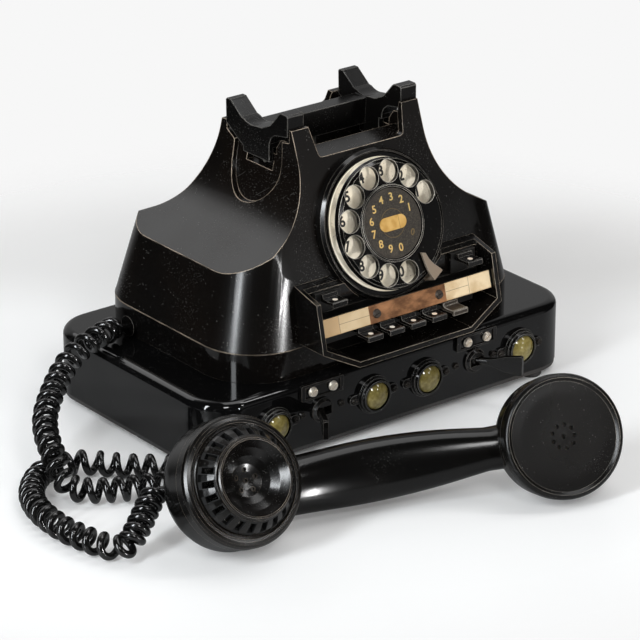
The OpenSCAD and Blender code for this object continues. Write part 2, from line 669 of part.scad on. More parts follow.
// Bracket, posts and clapper bearing of the ringer on the base plate.
module ringer_frame() color([0.55, 0.54, 0.5]) difference() {
    union() {
        translate([-36, 14, plate_t]) cube([72, 54, 1.6]);
        for (s = [-1, 1]) translate([s * gong_x, gong_y, plate_t]) cylinder(h = 15, r = 4, $fn = 32);
        translate([-22, 63, plate_t]) cube([44, 4, 22]);
        translate([-4, 40.5, plate_t]) cube([8, 6, 8]);
    }
    translate([0, clapper_y, plate_t + 2]) cylinder(h = 10, r = 1.25, $fn = 20);
}

module gongs() color([0.7, 0.68, 0.6])
    for (s = [-1, 1]) translate([s * gong_x, gong_y, plate_t + 6.4]) rotate_extrude($fn = 64)
        polygon([[0, 8.6], [4.4, 8.6], [11, 7.8], [17, 3.6], [18.6, -4], [20, -4], [18.4, 4.6],
            [11.6, 9.2], [0, 10]]);

module ringer_coils() color([0.5, 0.2, 0.1])
    for (s = [-1, 1]) translate([s * 10, 63, plate_t + 13]) rotate([90, 0, 0]) {
        cylinder(h = 14, r = 7, $fn = 40);
        cylinder(h = 1.2, r = 8.4, $fn = 40);
        translate([0, 0, 13]) cylinder(h = 1.2, r = 8.4, $fn = 40);
    }

// Rod with a ball that swings between the two gongs.
module clapper() color([0.65, 0.64, 0.6]) translate([0, clapper_y, 0]) {
    translate([0, 0, plate_t + 4]) cylinder(h = 6, r = 1, $fn = 20);
    translate([0, 0, plate_t + 8.2]) cylinder(h = 1.8, r = 2.6, $fn = 24);
    translate([0, 0, plate_t + 9.2]) rotate([90, 0, 0]) cylinder(h = 20, r = 0.6, $fn = 16);
    translate([0, -20, plate_t + 9.2]) sphere(2.2, $fn = 24);
}

module induction_coil() color([0.55, 0.3, 0.12])
    translate([-84, 18, plate_t]) {
        translate([0, 0, 11]) rotate([-90, 0, 0]) cylinder(h = 46, r = 8.5, $fn = 40);
        for (y = [-2, 46]) translate([-11, y, 0]) cube([22, 2, 22]);
    }

module capacitor() color([0.62, 0.6, 0.55]) translate([70, 16, plate_t]) {
    cube([34, 46, 20]);
    for (y = [12, 34]) translate([17, y, 20]) cylinder(h = 3, r = 2, $fn = 20);
}

module terminal_block() color([0.3, 0.18, 0.1]) translate([-40, -34, plate_t]) {
    cube([80, 20, 7]);
    for (x = [8 : 16 : 72]) translate([x, 10, 7]) cylinder(h = 3, r = 3, $fn = 24);
}

module line_inlet() color([0.09, 0.09, 0.09]) translate([0, plinth_half_y, 14])
    rotate([90, 0, 0]) difference() {
        union() {
            translate([0, 0, -3]) cylinder(h = 3, r = 7, $fn = 40);
            cylinder(h = plinth_wall + 2, r = 4.4, $fn = 40);
        }
        translate([0, 0, -5]) cylinder(h = 20, r = 2.4, $fn = 32);
    }

module cord_gland() color([0.06, 0.06, 0.06])
    translate([gland_face_x, gland_in[0], gland_in[1]]) rotate([0, 90, 0]) {
        cylinder(h = 3, r = 6.2, $fn = 40);
        cylinder(h = 9, r = 4.3, $fn = 40);
    }

// Places something along the cord outlet in the back of the mouth housing.
module at_outlet() at_handset() translate(outlet_at) rotate([0, outlet_turn, 0]) children();

module handset_gland() color([0.06, 0.06, 0.06]) at_outlet() {
    translate([0, 0, 10.2]) cylinder(h = 6, r = 4.3, $fn = 32);
    translate([0, 0, 16.2]) cylinder(h = outlet_len - 16.2, r1 = 4.3, r2 = 3.6, $fn = 32);
}

grip_n = 28;
grip_m = 18;
function grip_x(s) = 14 + (cap_spacing - 26) * s;
function grip_z(s) = -29 + 10 * s - 6 * sin(180 * s) + 8 * pow(1 - s, 6);
function grip_y(s) = -8.8 + 9.8 * s - 2 * s * s;
function grip_w(s) = 12.6 + 25 * s - 30.8 * s * s + 40 * pow(max(0, 0.28 - s), 2)
    + 400 * pow(max(0, s - 0.81), 2) * (1.16 - s) / 0.35;
function grip_t(s) = 11 + 1 * pow(2 * s - 1, 2);
function grip_pt(s, a) = [grip_x(s) + 0, grip_y(s) + grip_w(s) * sign(cos(a)) * pow(abs(cos(a)), 0.85),
    grip_z(s) + grip_t(s) * sign(sin(a)) * pow(abs(sin(a)), 0.85)];

module grip() polyhedron(
    points = [for (j = [0 : grip_m], i = [0 : grip_n - 1]) grip_pt(j / grip_m, i * 360 / grip_n)],
    faces = concat([[for (i = [0 : grip_n - 1]) i]],
        [[for (i = [0 : grip_n - 1]) grip_m * grip_n + grip_n - 1 - i]],
        [for (j = [0 : grip_m - 1], i = [0 : grip_n - 1])
            [j * grip_n + i, (j + 1) * grip_n + i, (j + 1) * grip_n + (i + 1) % grip_n]],
        [for (j = [0 : grip_m - 1], i = [0 : grip_n - 1])
            [j * grip_n + i, (j + 1) * grip_n + (i + 1) % grip_n, j * grip_n + (i + 1) % grip_n]]));

// One moulding: the grip with the bowl of each capsule.
module handset_handle() color([0.05, 0.05, 0.055]) difference() {
    union() {
        at_handset() grip();
        at_mouth() rotate_extrude($fn = 96) polygon([[0, -6], [mouth_d / 2 - 0.5, -6],
            [mouth_d / 2 - 0.4, -19], [mouth_d / 2 - 0.8, -21.4], [34.6, -24.2], [32.4, -27.4],
            [28, -31], [21, -33.6], [0, -35]]);
        at_ear() rotate_extrude($fn = 96) polygon([[0, -7.4], [ear_d / 2 - 0.5, -7.4],
            [ear_d / 2 - 0.8, -14], [33.6, -20.4], [31, -24.6], [27, -27.6], [20, -29.4], [0, -30]]);
    }
    at_mouth() translate([0, 0, -26]) cylinder(h = 30, r = 28, $fn = 80);
    at_ear() translate([0, 0, -22]) cylinder(h = 30, r = 27, $fn = 80);
    at_outlet() cylinder(h = 30, r = 4.6, $fn = 32);
}

// Cap of the mouthpiece: a rolled rim, a sloping ring of slots and a proud funnel.
module mouth_cap() color([0.05, 0.05, 0.055]) at_mouth() difference() {
    rotate_extrude($fn = 96) polygon([[mouth_d / 2 - 3.5, -6], [mouth_d / 2, -6],
        [mouth_d / 2, 0], [mouth_d / 2 - 0.7, 1.8], [mouth_d / 2 - 2, 3.2], [mouth_d / 2 - 3.6, 3.9],
        [31.4, 3.8], [30.6, 2.9], [29.8, 3.6], [29.3, 5.4], [28.4, 7.4], [26.4, 10.4], [24, 13.2],
        [22.9, 14.2], [22.5, 16], [21.8, 16.8], [20.8, 16.8], [20, 15.8], [17, 12.2], [13, 8.4],
        [9, 5.7], [5, 4.5], [0, 4.2], [0, 1.8], [6, 2.2], [12, 4.9], [17, 9], [20.4, 11],
        [24, 7.4], [26.6, 3.4], [28, 0], [mouth_d / 2 - 3.5, -1.4]]);
    for (i = [0 : slot_count - 1]) rotate([0, 0, i * 360 / slot_count])
        translate([26.1, 0, 10.2]) rotate([0, 51, 0]) translate([-3.6, -1.7, -8])
            cube([7.2, 3.4, 12]);
    cylinder(h = 40, r = 1.2, center = true, $fn = 20);
    for (i = [0 : 4]) rotate([0, 0, i * 72 + 18]) translate([6, 0, -20])
        cylinder(h = 40, r = 1.2, $fn = 20);
}

// Dished cap of the earpiece with a ring of sound holes.
module ear_cap() color([0.05, 0.05, 0.055]) at_ear() difference() {
    rotate_extrude($fn = 96) polygon([[ear_d / 2 - 3.5, -7.4], [ear_d / 2, -7.4],
        [ear_d / 2, -1.6], [ear_d / 2 - 0.7, -0.3], [ear_d / 2 - 1.7, 0.5], [ear_d / 2 - 2.5, 0.7],
        [ear_d / 2 - 3.3, 0.2], [ear_d / 2 - 4.4, -0.8], [24, -1.2], [0, -1.6], [0, -4.4],
        [ear_d / 2 - 3.5, -4.4]]);
    cylinder(h = 40, r = 1.2, center = true, $fn = 20);
    for (i = [0 : 8]) rotate([0, 0, i * 40]) translate([6.6, 0, -20])
        cylinder(h = 30, r = 1.2, $fn = 20);
}

module transmitter_capsule() color([0.6, 0.6, 0.58]) at_mouth() translate([0, 0, -26])
    cylinder(h = 20, r = 27.4, $fn = 64);

module receiver_capsule() color([0.6, 0.6, 0.58]) at_ear() translate([0, 0, -22])
    cylinder(h = 15.6, r = 26.6, $fn = 64);

function on_handset(p) = let(c = cos(handset_tip), n = sin(handset_tip),
    q = [p[0], c * p[1] - n * p[2], n * p[1] + c * p[2]], a = cos(handset_turn),
    b = sin(handset_turn)) handset_at + [a * q[0] - b * q[1], b * q[0] + a * q[1], q[2]];
function unit(v) = v / norm(v);

outlet_base = on_handset(outlet_at);
outlet_dir = unit(on_handset(outlet_at + 10 * [sin(outlet_turn), 0, cos(outlet_turn)])
    - outlet_base);
outlet_tip = outlet_base + outlet_len * outlet_dir;
cord_end = wire_d + 0.3;
coil_r = (coil_d - wire_d) / 2;
start = [gland_face_x, gland_in[0], gland_in[1]];
route = [start, start - [cord_end, 0, 0], [-121, 33.4, 49.8], [-129, 29.6, 50.8],
    [-136.5, 26.6, 50.8], [-143.5, 24.8, 50.2], [-150.5, 24, 48], [-157, 22.8, 45],
    [-163.5, 20.4, 41.8], [-170.2, 16.6, 38.4], [-177, 11.8, 35], [-183.1, 7, 32],
    [-188.9, 1.8, 29.3], [-194.2, -4.2, 26.9], [-199, -11.4, 24.8], [-203, -19.2, 22.6],
    [-206, -27.2, 19.8], [-208.2, -34, 16.6], [-209.5, -39.4, 12.8], [-209.9, -44, 9.2],
    [-208.9, -48.6, 6.2], [-206.1, -53.3, 4.6], [-201.3, -57.9, 4.1], [-195, -62.3, 4.1],
    [-188, -66.2, 4.1], [-179.5, -70, 4.1], [-170, -73.8, 4.1], [-160, -76.6, 4.1],
    [-150.5, -74.6, 4.1], [-146.8, -66.6, 4.1], [-150.8, -58.6, 4.1], [-158, -52.4, 4.1],
    [-166, -45.4, 4.1], [-173, -37.4, 4.1], [-179.6, -29, 4.1], [-187, -23, 4.1],
    [-195.8, -20.2, 4.1], [-204.6, -20.8, 4.1], [-213, -24.8, 4.1], [-220.9, -31.4, 4.1],
    [-228, -40, 4.1], [-233.5, -50, 4.1], [-237.3, -62, 4.1], [-239.2, -76, 4.1],
    [-239.2, -91, 4.1], [-237.4, -103, 4.1], [-234.6, -112.8, 4.1], [-230.6, -121, 4.1],
    [-225, -125.4, 5.3], [-219.6, -125.6, 8.6], [-215, -123, 12.8], [-210.4, -118.8, 17],
    [-205, -115, 21], outlet_tip + cord_end * outlet_dir, outlet_tip];
route_last = len(route) - 1;

// Point on a smooth line through the route points, u runs over their numbers.
function cat(a, b, c, d, t) = 0.5 * (2 * b + (c - a) * t + (2 * a - 5 * b + 4 * c - d) * t * t
    + (3 * b - a - 3 * c + d) * t * t * t);
function route_at(k) = k < 0 ? 2 * route[0] - route[1]
    : k > route_last ? 2 * route[route_last] - route[route_last - 1] : route[k];
function on_route(u) = let(i = min(floor(u), route_last - 1))
    cat(route_at(i - 1), route_at(i), route_at(i + 1), route_at(i + 2), u - i);

steps = 12 * route_last;
line = [for (k = [0 : steps]) on_route(k / 12)];
far = [for (k = 0, d = 0; k <= steps; d = d + (k < steps ? norm(line[k + 1] - line[k]) : 0),
    k = k + 1) d];
cord_len = far[steps];

// The curls stand further apart where the line bends, so they never touch inside a bend.
bend = [for (k = [0 : steps]) k == 0 || k == steps ? 0 : let(a = line[k] - line[k - 1],
    b = line[k + 1] - line[k]) norm(unit(b) - unit(a)) * 2 / (norm(a) + norm(b))];
share = [for (k = 0, d = 0; k <= steps; d = d + (k < steps ? norm(line[k + 1] - line[k])
    * max(0.3, 1 - (coil_r + 0.8) * (bend[k] + bend[k + 1]) / 2) : 0), k = k + 1) d];
to_share = [for (k = [0 : steps]) [far[k], share[k]]];
to_route = [for (k = [0 : steps]) [share[k], k / 12]];

// Ring centres run straight out of each gland, then wind round the line.
curl_rings = 8;
ring_count = curl_count * curl_rings;
from = lookup(cord_end, to_share);
upto = lookup(cord_len - cord_end, to_share);
ring_at = concat([0], [for (i = [0 : ring_count]) from + (upto - from) * i / ring_count],
    [share[steps]]);
centres = [for (f = ring_at) on_route(lookup(f, to_route))];
ring_last = len(centres) - 1;
travel = [for (i = [0 : ring_last]) i < 2 ? [-1, 0, 0] : i > ring_last - 2 ? -outlet_dir
    : unit(centres[i + 1] - centres[i - 1])];
sideways = [for (i = 0, v = [0, 0, 1]; i <= ring_last; i = i + 1,
    v = unit(v - (v * travel[min(i, ring_last)]) * travel[min(i, ring_last)])) v];
function swell(i) = let(t = min(1, min(i - 1, ring_last - 1 - i) / 7)) t <= 0 ? 0 : t * t * (3 - 2 * t);
wire = [for (i = [0 : ring_last]) let(a = (i - 1) * 360 / curl_rings, n = sideways[i],
    b = cross(travel[i], n)) centres[i] + coil_r * swell(i) * (cos(a) * n + sin(a) * b)];
wire_dir = [for (i = [0 : ring_last]) i < 2 ? travel[0] : i > ring_last - 2 ? travel[ring_last]
    : unit(wire[i + 1] - wire[i - 1])];
wire_side = [for (i = 0, v = [0, 0, 1]; i <= ring_last; i = i + 1,
    v = unit(v - (v * wire_dir[min(i, ring_last)]) * wire_dir[min(i, ring_last)])) v];
cord_points = [for (i = [0 : ring_last], k = [0 : 5]) let(n = wire_side[i],
    b = cross(wire_dir[i], n)) wire[i] + wire_d / 2 * (cos(60 * k) * n + sin(60 * k) * b)];

// The winding cord as one closed tube of triangles.
module curly_cord() color([0.04, 0.04, 0.04]) {
    gap = min([for (i = [0 : ring_last - 5], j = [i + 5 : ring_last]) norm(wire[i] - wire[j])]);
    echo(cord_length = cord_len, least_gap = gap - wire_d, lowest = min([for (p = wire) p[2]]));
    polyhedron(points = cord_points, faces = concat([[5, 4, 3, 2, 1, 0]],
        [[for (k = [0 : 5]) ring_last * 6 + k]],
        [for (i = [0 : ring_last - 1], k = [0 : 5])
            [i * 6 + k, i * 6 + (k + 1) % 6, (i + 1) * 6 + (k + 1) % 6]],
        [for (i = [0 : ring_last - 1], k = [0 : 5])
            [i * 6 + k, (i + 1) * 6 + (k + 1) % 6, (i + 1) * 6 + k]]));
}

plinth_case();
bottom_plate();
rubber_feet();
plate_screws();
hood_skirt();
hood_screws();
hood_shell();
lamp_bezels();
lamp_lenses();
lamp_sockets();
lamp_bulbs();
front_screws();
label_holders();
label_screws();
switch_collars();
switch_bodies();
lever_left();
lever_right();
dial_base();
number_ring();
finger_wheel();
dial_card();
card_plate();
finger_stop();
dial_shaft();
dial_mechanism();
key_panel_frame();
key_bank();
key_rods();
key_1();
key_2();
key_3();
key_4();
key_5();
key_left();
key_right();
strip_carrier();
copper_strip();
paper_strips();
strip_screws();
cradle();
cradle_pins();
hook_plunger();
hook_switch();
ringer_frame();
gongs();
ringer_coils();
clapper();
induction_coil();
capacitor();
terminal_block();
line_inlet();
cord_gland();
handset_handle();
mouth_cap();
ear_cap();
transmitter_capsule();
receiver_capsule();
handset_gland();
curly_cord();
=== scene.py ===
import math

import bmesh
import bpy
from mathutils import Matrix, Vector


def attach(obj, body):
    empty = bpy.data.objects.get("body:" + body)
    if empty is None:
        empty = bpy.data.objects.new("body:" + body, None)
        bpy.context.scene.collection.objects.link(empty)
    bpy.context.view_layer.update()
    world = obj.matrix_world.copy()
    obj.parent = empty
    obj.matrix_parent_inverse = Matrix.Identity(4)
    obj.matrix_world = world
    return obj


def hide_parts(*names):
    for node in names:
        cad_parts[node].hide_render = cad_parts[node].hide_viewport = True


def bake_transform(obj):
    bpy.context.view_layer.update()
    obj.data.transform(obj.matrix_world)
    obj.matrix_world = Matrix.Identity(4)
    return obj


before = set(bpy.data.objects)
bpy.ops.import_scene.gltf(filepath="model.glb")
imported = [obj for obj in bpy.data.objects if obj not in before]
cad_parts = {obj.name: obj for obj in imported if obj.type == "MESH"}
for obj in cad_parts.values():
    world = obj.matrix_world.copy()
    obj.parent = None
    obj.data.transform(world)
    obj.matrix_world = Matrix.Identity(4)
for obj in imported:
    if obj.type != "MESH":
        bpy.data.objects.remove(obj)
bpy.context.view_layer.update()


# Camera. It stands to the left of the front and a little above, a long way off,
# with a long lens, and looks at the middle of the telephone.
camera_turn, camera_rise, camera_distance = math.radians(38), math.radians(23), 2.09
camera_aim = Vector((0.006, 0, 0.0334))
camera_lens, camera_sensor, camera_reach = 196.875, 36, 20
looking = Vector((math.sin(camera_turn) * math.cos(camera_rise),
                  math.cos(camera_turn) * math.cos(camera_rise), -math.sin(camera_rise)))
camera = bpy.data.objects.new("camera", bpy.data.cameras.new("camera"))
camera.data.lens, camera.data.sensor_width = camera_lens, camera_sensor
camera.data.clip_end = camera_reach
camera.location = camera_aim - camera_distance * looking
camera.rotation_euler = looking.to_track_quat("-Z", "Y").to_euler()
bpy.context.scene.collection.objects.link(camera)
bpy.context.scene.camera = camera
bpy.context.scene.view_settings.view_transform = "Standard"


# Table and light. A round white table top fades out before its edge. It is painted with shade:
# a soft band behind the telephone, like the fold of a paper sweep, and a darker front. An
# emission seen only from the camera paints light on it, more away from its middle, and gloss sees
# it painted grey. Soft boxes stand left, above and in front, and a pale backdrop hangs behind, to
# the right.
class Socket:
    """An output in a shader tree that takes part in sums; node() adds any other node: its
    type, its settings, the values or links of its sockets, and the output that is wanted."""

    def __init__(self, tree, output=None):
        self.tree, self.output = tree, output

    def node(self, kind, settings=(), sockets=(), output=0):
        made = self.tree.nodes.new(kind)
        for name, value in dict(settings).items():
            setattr(made, name, value)
        for name, value in dict(sockets).items():
            if isinstance(value, Socket):
                self.tree.links.new(value.output, made.inputs[name])
            else:
                made.inputs[name].default_value = value
        return Socket(self.tree, made.outputs[output])

    def maths(self, operation, *operands):
        return self.node("ShaderNodeMath", {"operation": operation}, enumerate(operands))

    def __add__(self, other):
        return self.maths("ADD", self, other)

    def __sub__(self, other):
        return self.maths("SUBTRACT", self, other)

    def __rsub__(self, other):
        return self.maths("SUBTRACT", other, self)

    def __mul__(self, other):
        return self.maths("MULTIPLY", self, other)

    def __truediv__(self, other):
        return self.maths("DIVIDE", self, other)

    def __abs__(self):
        return self.maths("ABSOLUTE", self)

    def __gt__(self, other):
        return self.maths("GREATER_THAN", self, other)

    def __lt__(self, other):
        return self.maths("LESS_THAN", self, other)

    __radd__ = __add__
    __rmul__ = __mul__

    def root(self):
        return self.maths("SQRT", self)

    def dot(self, direction):
        return self.node("ShaderNodeVectorMath", {"operation": "DOT_PRODUCT"},
                         {0: self, 1: direction}, "Value")

    def between(self, low, high, start=0.0, end=1.0):
        """Runs smoothly from start to end as the value goes from low to high."""
        return self.node("ShaderNodeMapRange", {"interpolation_type": "SMOOTHSTEP"},
                         {0: self, 1: low, 2: high, 3: start, 4: end})

    def tint(self, first, second):
        """The first colour where the mask is 0, and the second where it is 1."""
        return self.node("ShaderNodeMix", {"data_type": "RGBA"},
                         {0: self, 6: first if isinstance(first, Socket) else (*first, 1),
                          7: second if isinstance(second, Socket) else (*second, 1)}, 2)


def material(name):
    """A new material: its tree as a Socket, its shader node, and the material itself."""
    made = bpy.data.materials.new(name)
    made.use_nodes = True
    shader = made.node_tree.nodes["Principled BSDF"]
    return Socket(made.node_tree), shader, made


def feed(tree, shader, **values):
    """Sets or links sockets of a shader, with _ for the space in each name."""
    for name, value in values.items():
        socket = shader.inputs[name.replace("_", " ")]
        if isinstance(value, Socket):
            tree.tree.links.new(value.output, socket)
        elif isinstance(value, tuple):
            socket.default_value = (*value, 1)
        else:
            socket.default_value = value


def toward(left, up):
    """Direction from the telephone, in degrees left of its front and above level."""
    left, up = math.radians(left), math.radians(up)
    return Vector((-math.sin(left) * math.cos(up), -math.cos(left) * math.cos(up), math.sin(up)))


table_radius, table_z, table_sides = 1.3, -0.004, 96
table_mesh = bmesh.new()
bmesh.ops.create_circle(table_mesh, cap_ends=True, radius=table_radius, segments=table_sides)
bmesh.ops.translate(table_mesh, verts=table_mesh.verts, vec=(0, 0, table_z))
table = bpy.data.objects.new("table_top", bpy.data.meshes.new("table_top"))
table_mesh.to_mesh(table.data)
table_mesh.free()
bpy.context.scene.collection.objects.link(table)

tree, shader, white = material("white_table")
spot = tree.node("ShaderNodeTexCoord", output="Object")
seen_in_gloss = tree.node("ShaderNodeLightPath", output="Is Glossy Ray")
# Places on the table, in metres behind its middle or away from it, as the camera looks.
fold_start, fold_full, fold_wane, fold_end = 0.08, 0.19, 0.22, 0.40
near_end, near_start = -0.40, -0.05
painted_glow_start, painted_glow_end, fade_start, fade_end = 0.08, 0.30, 0.27, 0.43
behind = spot.dot((math.sin(camera_turn), math.cos(camera_turn), 0))
# Painted shade: a soft band behind the telephone and the front of the table are painted darker.
fold_shade_mask = behind.between(fold_start, fold_full) * behind.between(fold_wane, fold_end, 1, 0.1)
front_shade_mask = behind.between(near_end, near_start, 1, 0)
lit_white, front_shade_white, fold_shade_white = (0.94, 0.94, 0.935), (0.75, 0.75, 0.745), (0.77, 0.765, 0.755)
surface = fold_shade_mask.tint(front_shade_mask.tint(lit_white, front_shade_white), fold_shade_white)
# Painted reflection: in gloss the table is painted grey, not white.
painted_grey_in_gloss = (0.42, 0.42, 0.42)
distance = spot.node("ShaderNodeVectorMath", {"operation": "LENGTH"}, {0: spot}, "Value")
seen = tree.node("ShaderNodeLightPath", output="Is Camera Ray")
# Painted light: an emission seen only from the camera, stronger away from the table's middle.
feed(tree, shader, Base_Color=seen_in_gloss.tint(surface, painted_grey_in_gloss),
     Emission_Color=seen * distance.between(painted_glow_start, painted_glow_end, 0.05, 0.16),
     Emission_Strength=1.0,
     Roughness=0.32, Specular_IOR_Level=0.35)
clear = tree.node("ShaderNodeBsdfTransparent")
fading = tree.node("ShaderNodeMixShader", (), {
    0: distance.between(fade_start, fade_end), 1: Socket(tree.tree, shader.outputs["BSDF"]),
    2: clear})
tree.tree.links.new(fading.output, tree.tree.nodes["Material Output"].inputs["Surface"])
table.data.materials.append(white)


aim_z = 0.07


def softbox(name, left, up, distance, width, height, radiance, colour=(1, 1, 1)):
    """A soft box that faces the telephone's middle; see toward() for its left and up."""
    lamp = bpy.data.lights.new(name, "AREA")
    lamp.shape, lamp.size, lamp.size_y = "RECTANGLE", width, height
    lamp.energy, lamp.color = radiance * math.pi * width * height, colour
    stand = bpy.data.objects.new(name, lamp)
    stand.location = toward(left, up) * distance + Vector((0, 0, aim_z))
    stand.rotation_euler = (-toward(left, up)).to_track_quat("-Z", "Y").to_euler()
    bpy.context.scene.collection.objects.link(stand)


# Degrees left and up, distance, width and height in metres, radiance, and colour if not white.
softbox("left_box", 75, 24, 1.45, 0.19, 1.2, 25, (0.93, 0.97, 1))
softbox("window_box", 23, 36, 1.6, 0.26, 0.30, 18)
softbox("front_strip", -9, 0, 1.7, 0.025, 0.34, 390)
softbox("lens_light", -22, 28, 1.6, 0.08, 0.08, 45)
softbox("right_strip", -46, 47, 1.6, 0.13, 0.7, 9)
softbox("ceiling_box", -70, 74, 1.5, 0.9, 0.8, 2.2)
softbox("back_box", 178, 45, 1.7, 1.3, 0.55, 1.2)

world = bpy.data.worlds.new("studio")
world.use_nodes = True
bpy.context.scene.world = world
air = Socket(world.node_tree)
way = air.node("ShaderNodeTexCoord", output="Generated")
backdrop = way.dot(tuple(toward(-150, 24))).between(0.55, 0.82)
front_haze = way.dot(tuple(toward(-30, -4))).between(0.91, 0.995, 0, 0.26)
# What gloss mirrors behind and elsewhere, what lights the room, and the page that is seen.
backdrop_level, dark_level, room_level, page_level = 0.40, 0.010, 0.22, 0.93
mirrored = backdrop * backdrop_level + front_haze + dark_level
in_gloss = air.node("ShaderNodeLightPath", output="Is Glossy Ray")
to_camera = air.node("ShaderNodeLightPath", output="Is Camera Ray")
level = in_gloss * (mirrored - room_level) + room_level
level = to_camera * (page_level - level) + level
world.node_tree.links.new(level.output, world.node_tree.nodes["Background"].inputs["Color"])


# Curled cord, from the gland in the left of the tray to the back of the mouth housing:
# a 4.3 mm black covered wire wound into 57 curls 15 mm across, closer on the bends and wider
# apart on the straight runs, laid in two loops. Its length is that of the wire itself.
MM = 0.001


def add(name, made, finish, body=None, smooth=40):
    """Makes an object of a bmesh, gives it its finish, and lets it ride on a body."""
    obj = bpy.data.objects.new(name, bpy.data.meshes.new(name))
    made.to_mesh(obj.data)
    made.free()
    obj.data.materials.append(finish)
    obj.data.shade_smooth()
    obj.data.set_sharp_from_angle(angle=math.radians(smooth))
    bpy.context.scene.collection.objects.link(obj)
    if body:
        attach(obj, body)
    return obj


wire_d, coil_d = 4.3, 15.0
coil_r = (coil_d - wire_d) / 2
straight = wire_d + 0.3
gland_mouth = Vector((-110, 34, 48.5))
handset_turn, handset_roll = math.radians(-20.2), math.radians(65.6)
handset_place = Matrix.Translation((-166, -152, 35.2)) @ Matrix.Rotation(handset_turn, 4, "Z") \
    @ Matrix.Rotation(handset_roll, 4, "X")
outlet_x, outlet_z, outlet_length, look_ahead = -20, -13, 19, 10
outlet_turn = math.radians(240)
outlet_foot = handset_place @ Vector((outlet_x, 0, outlet_z))
outlet_ahead = handset_place @ Vector((outlet_x + look_ahead * math.sin(outlet_turn), 0,
                                       outlet_z + look_ahead * math.cos(outlet_turn)))
outlet_way = (outlet_ahead - outlet_foot).normalized()
outlet_tip = outlet_foot + outlet_length * outlet_way
lay = [gland_mouth, gland_mouth - Vector((straight, 0, 0))] + [Vector(p) for p in (
    (-121, 33.4, 49.8), (-129, 29.6, 50.8), (-136.5, 26.6, 50.8), (-143.5, 24.8, 50.2),
    (-150.5, 24, 48), (-157, 22.8, 45), (-163.5, 20.4, 41.8), (-170.2, 16.6, 38.4),
    (-177, 11.8, 35), (-183.1, 7, 32), (-188.9, 1.8, 29.3), (-194.2, -4.2, 26.9),
    (-199, -11.4, 24.8), (-203, -19.2, 22.6), (-206, -27.2, 19.8), (-208.2, -34, 16.6),
    (-209.5, -39.4, 12.8), (-209.9, -44, 9.2), (-208.9, -48.6, 6.2), (-206.1, -53.3, 4.6),
    (-201.3, -57.9, 4.1), (-195, -62.3, 4.1), (-188, -66.2, 4.1), (-179.5, -70, 4.1),
    (-170, -73.8, 4.1), (-160, -76.6, 4.1), (-150.5, -74.6, 4.1), (-146.8, -66.6, 4.1),
    (-150.8, -58.6, 4.1), (-158, -52.4, 4.1), (-166, -45.4, 4.1), (-173, -37.4, 4.1),
    (-179.6, -29, 4.1), (-187, -23, 4.1), (-195.8, -20.2, 4.1), (-204.6, -20.8, 4.1),
    (-213, -24.8, 4.1), (-220.9, -31.4, 4.1), (-228, -40, 4.1), (-233.5, -50, 4.1),
    (-237.3, -62, 4.1), (-239.2, -76, 4.1), (-239.2, -91, 4.1), (-237.4, -103, 4.1),
    (-235, -113.7, 4.1), (-232.2, -121.9, 4.1), (-228.8, -127.3, 4.8), (-224.7, -130, 8),
    (-218.1, -127.7, 12.8), (-211.2, -124.1, 17.4), (-204.7, -120.5, 21.6))]
lay += [outlet_tip + straight * outlet_way, outlet_tip]
ends = [2 * lay[0] - lay[1]] + lay + [2 * lay[-1] - lay[-2]]


def on_lay(u):
    """A point on the smooth line through the laid points; u runs over their numbers."""
    i = min(int(u), len(lay) - 2)
    a, b, c, d = ends[i:i + 4]
    t = u - i
    return 0.5 * (2 * b + (c - a) * t + (2 * a - 5 * b + 4 * c - d) * t * t
                  + (3 * b - a - 3 * c + d) * t * t * t)


def lookup(value, keys, values):
    """Value read from a table of rising keys, in straight lines between them."""
    for k in range(1, len(keys)):
        if value <= keys[k]:
            t = (value - keys[k - 1]) / (keys[k] - keys[k - 1])
            return values[k - 1] + t * (values[k] - values[k - 1])
    return values[-1]


# Distance from curl to curl, in millimetres, by the number of the laid point.
pitches = [(0, 7.1), (19, 7.1), (23, 8), (28, 8), (30, 9), (34, 9), (38, 6.4), (41, 6.4),
           (43.5, 8.8), (47.5, 8.8), (49, 5.2), (53, 5.2)]
per_point = 12
fine = per_point * (len(lay) - 1)
line = [on_lay(k / per_point) for k in range(fine + 1)]
bend = [0.0] * (fine + 1)
for k in range(1, fine):
    a, b = line[k] - line[k - 1], line[k + 1] - line[k]
    bend[k] = (b.normalized() - a.normalized()).length * 2 / (a.length + b.length)
# Curls along the line: fewer on a bend, where their inner sides draw together.
far, share = [0.0], [0.0]
least_share, inner_clearance = 0.85, 0.8
for k in range(fine):
    step = (line[k + 1] - line[k]).length
    far.append(far[-1] + step)
    share.append(share[-1] + step / lookup(k / per_point, *zip(*pitches)) * max(
        least_share, 1 - (coil_r + inner_clearance) * (bend[k] + bend[k + 1]) / 2))
curl_steps, tube_sides, lead_eighths = 28, 14, 7
first = lookup(straight, far, share)
last = lookup(far[-1] - straight, far, share)
curls = round(last - first)
ring_total = curls * curl_steps
spots = [0.0] + [first + (last - first) * i / ring_total for i in range(ring_total + 1)]
spots.append(share[-1])
numbers = [k / per_point for k in range(fine + 1)]
middle = [on_lay(lookup(s, share, numbers)) for s in spots]
top = len(middle) - 1
heading = [Vector((-1, 0, 0))] * 2 + [(middle[i + 1] - middle[i - 1]).normalized()
                                      for i in range(2, top - 1)] + [-outlet_way] * 2
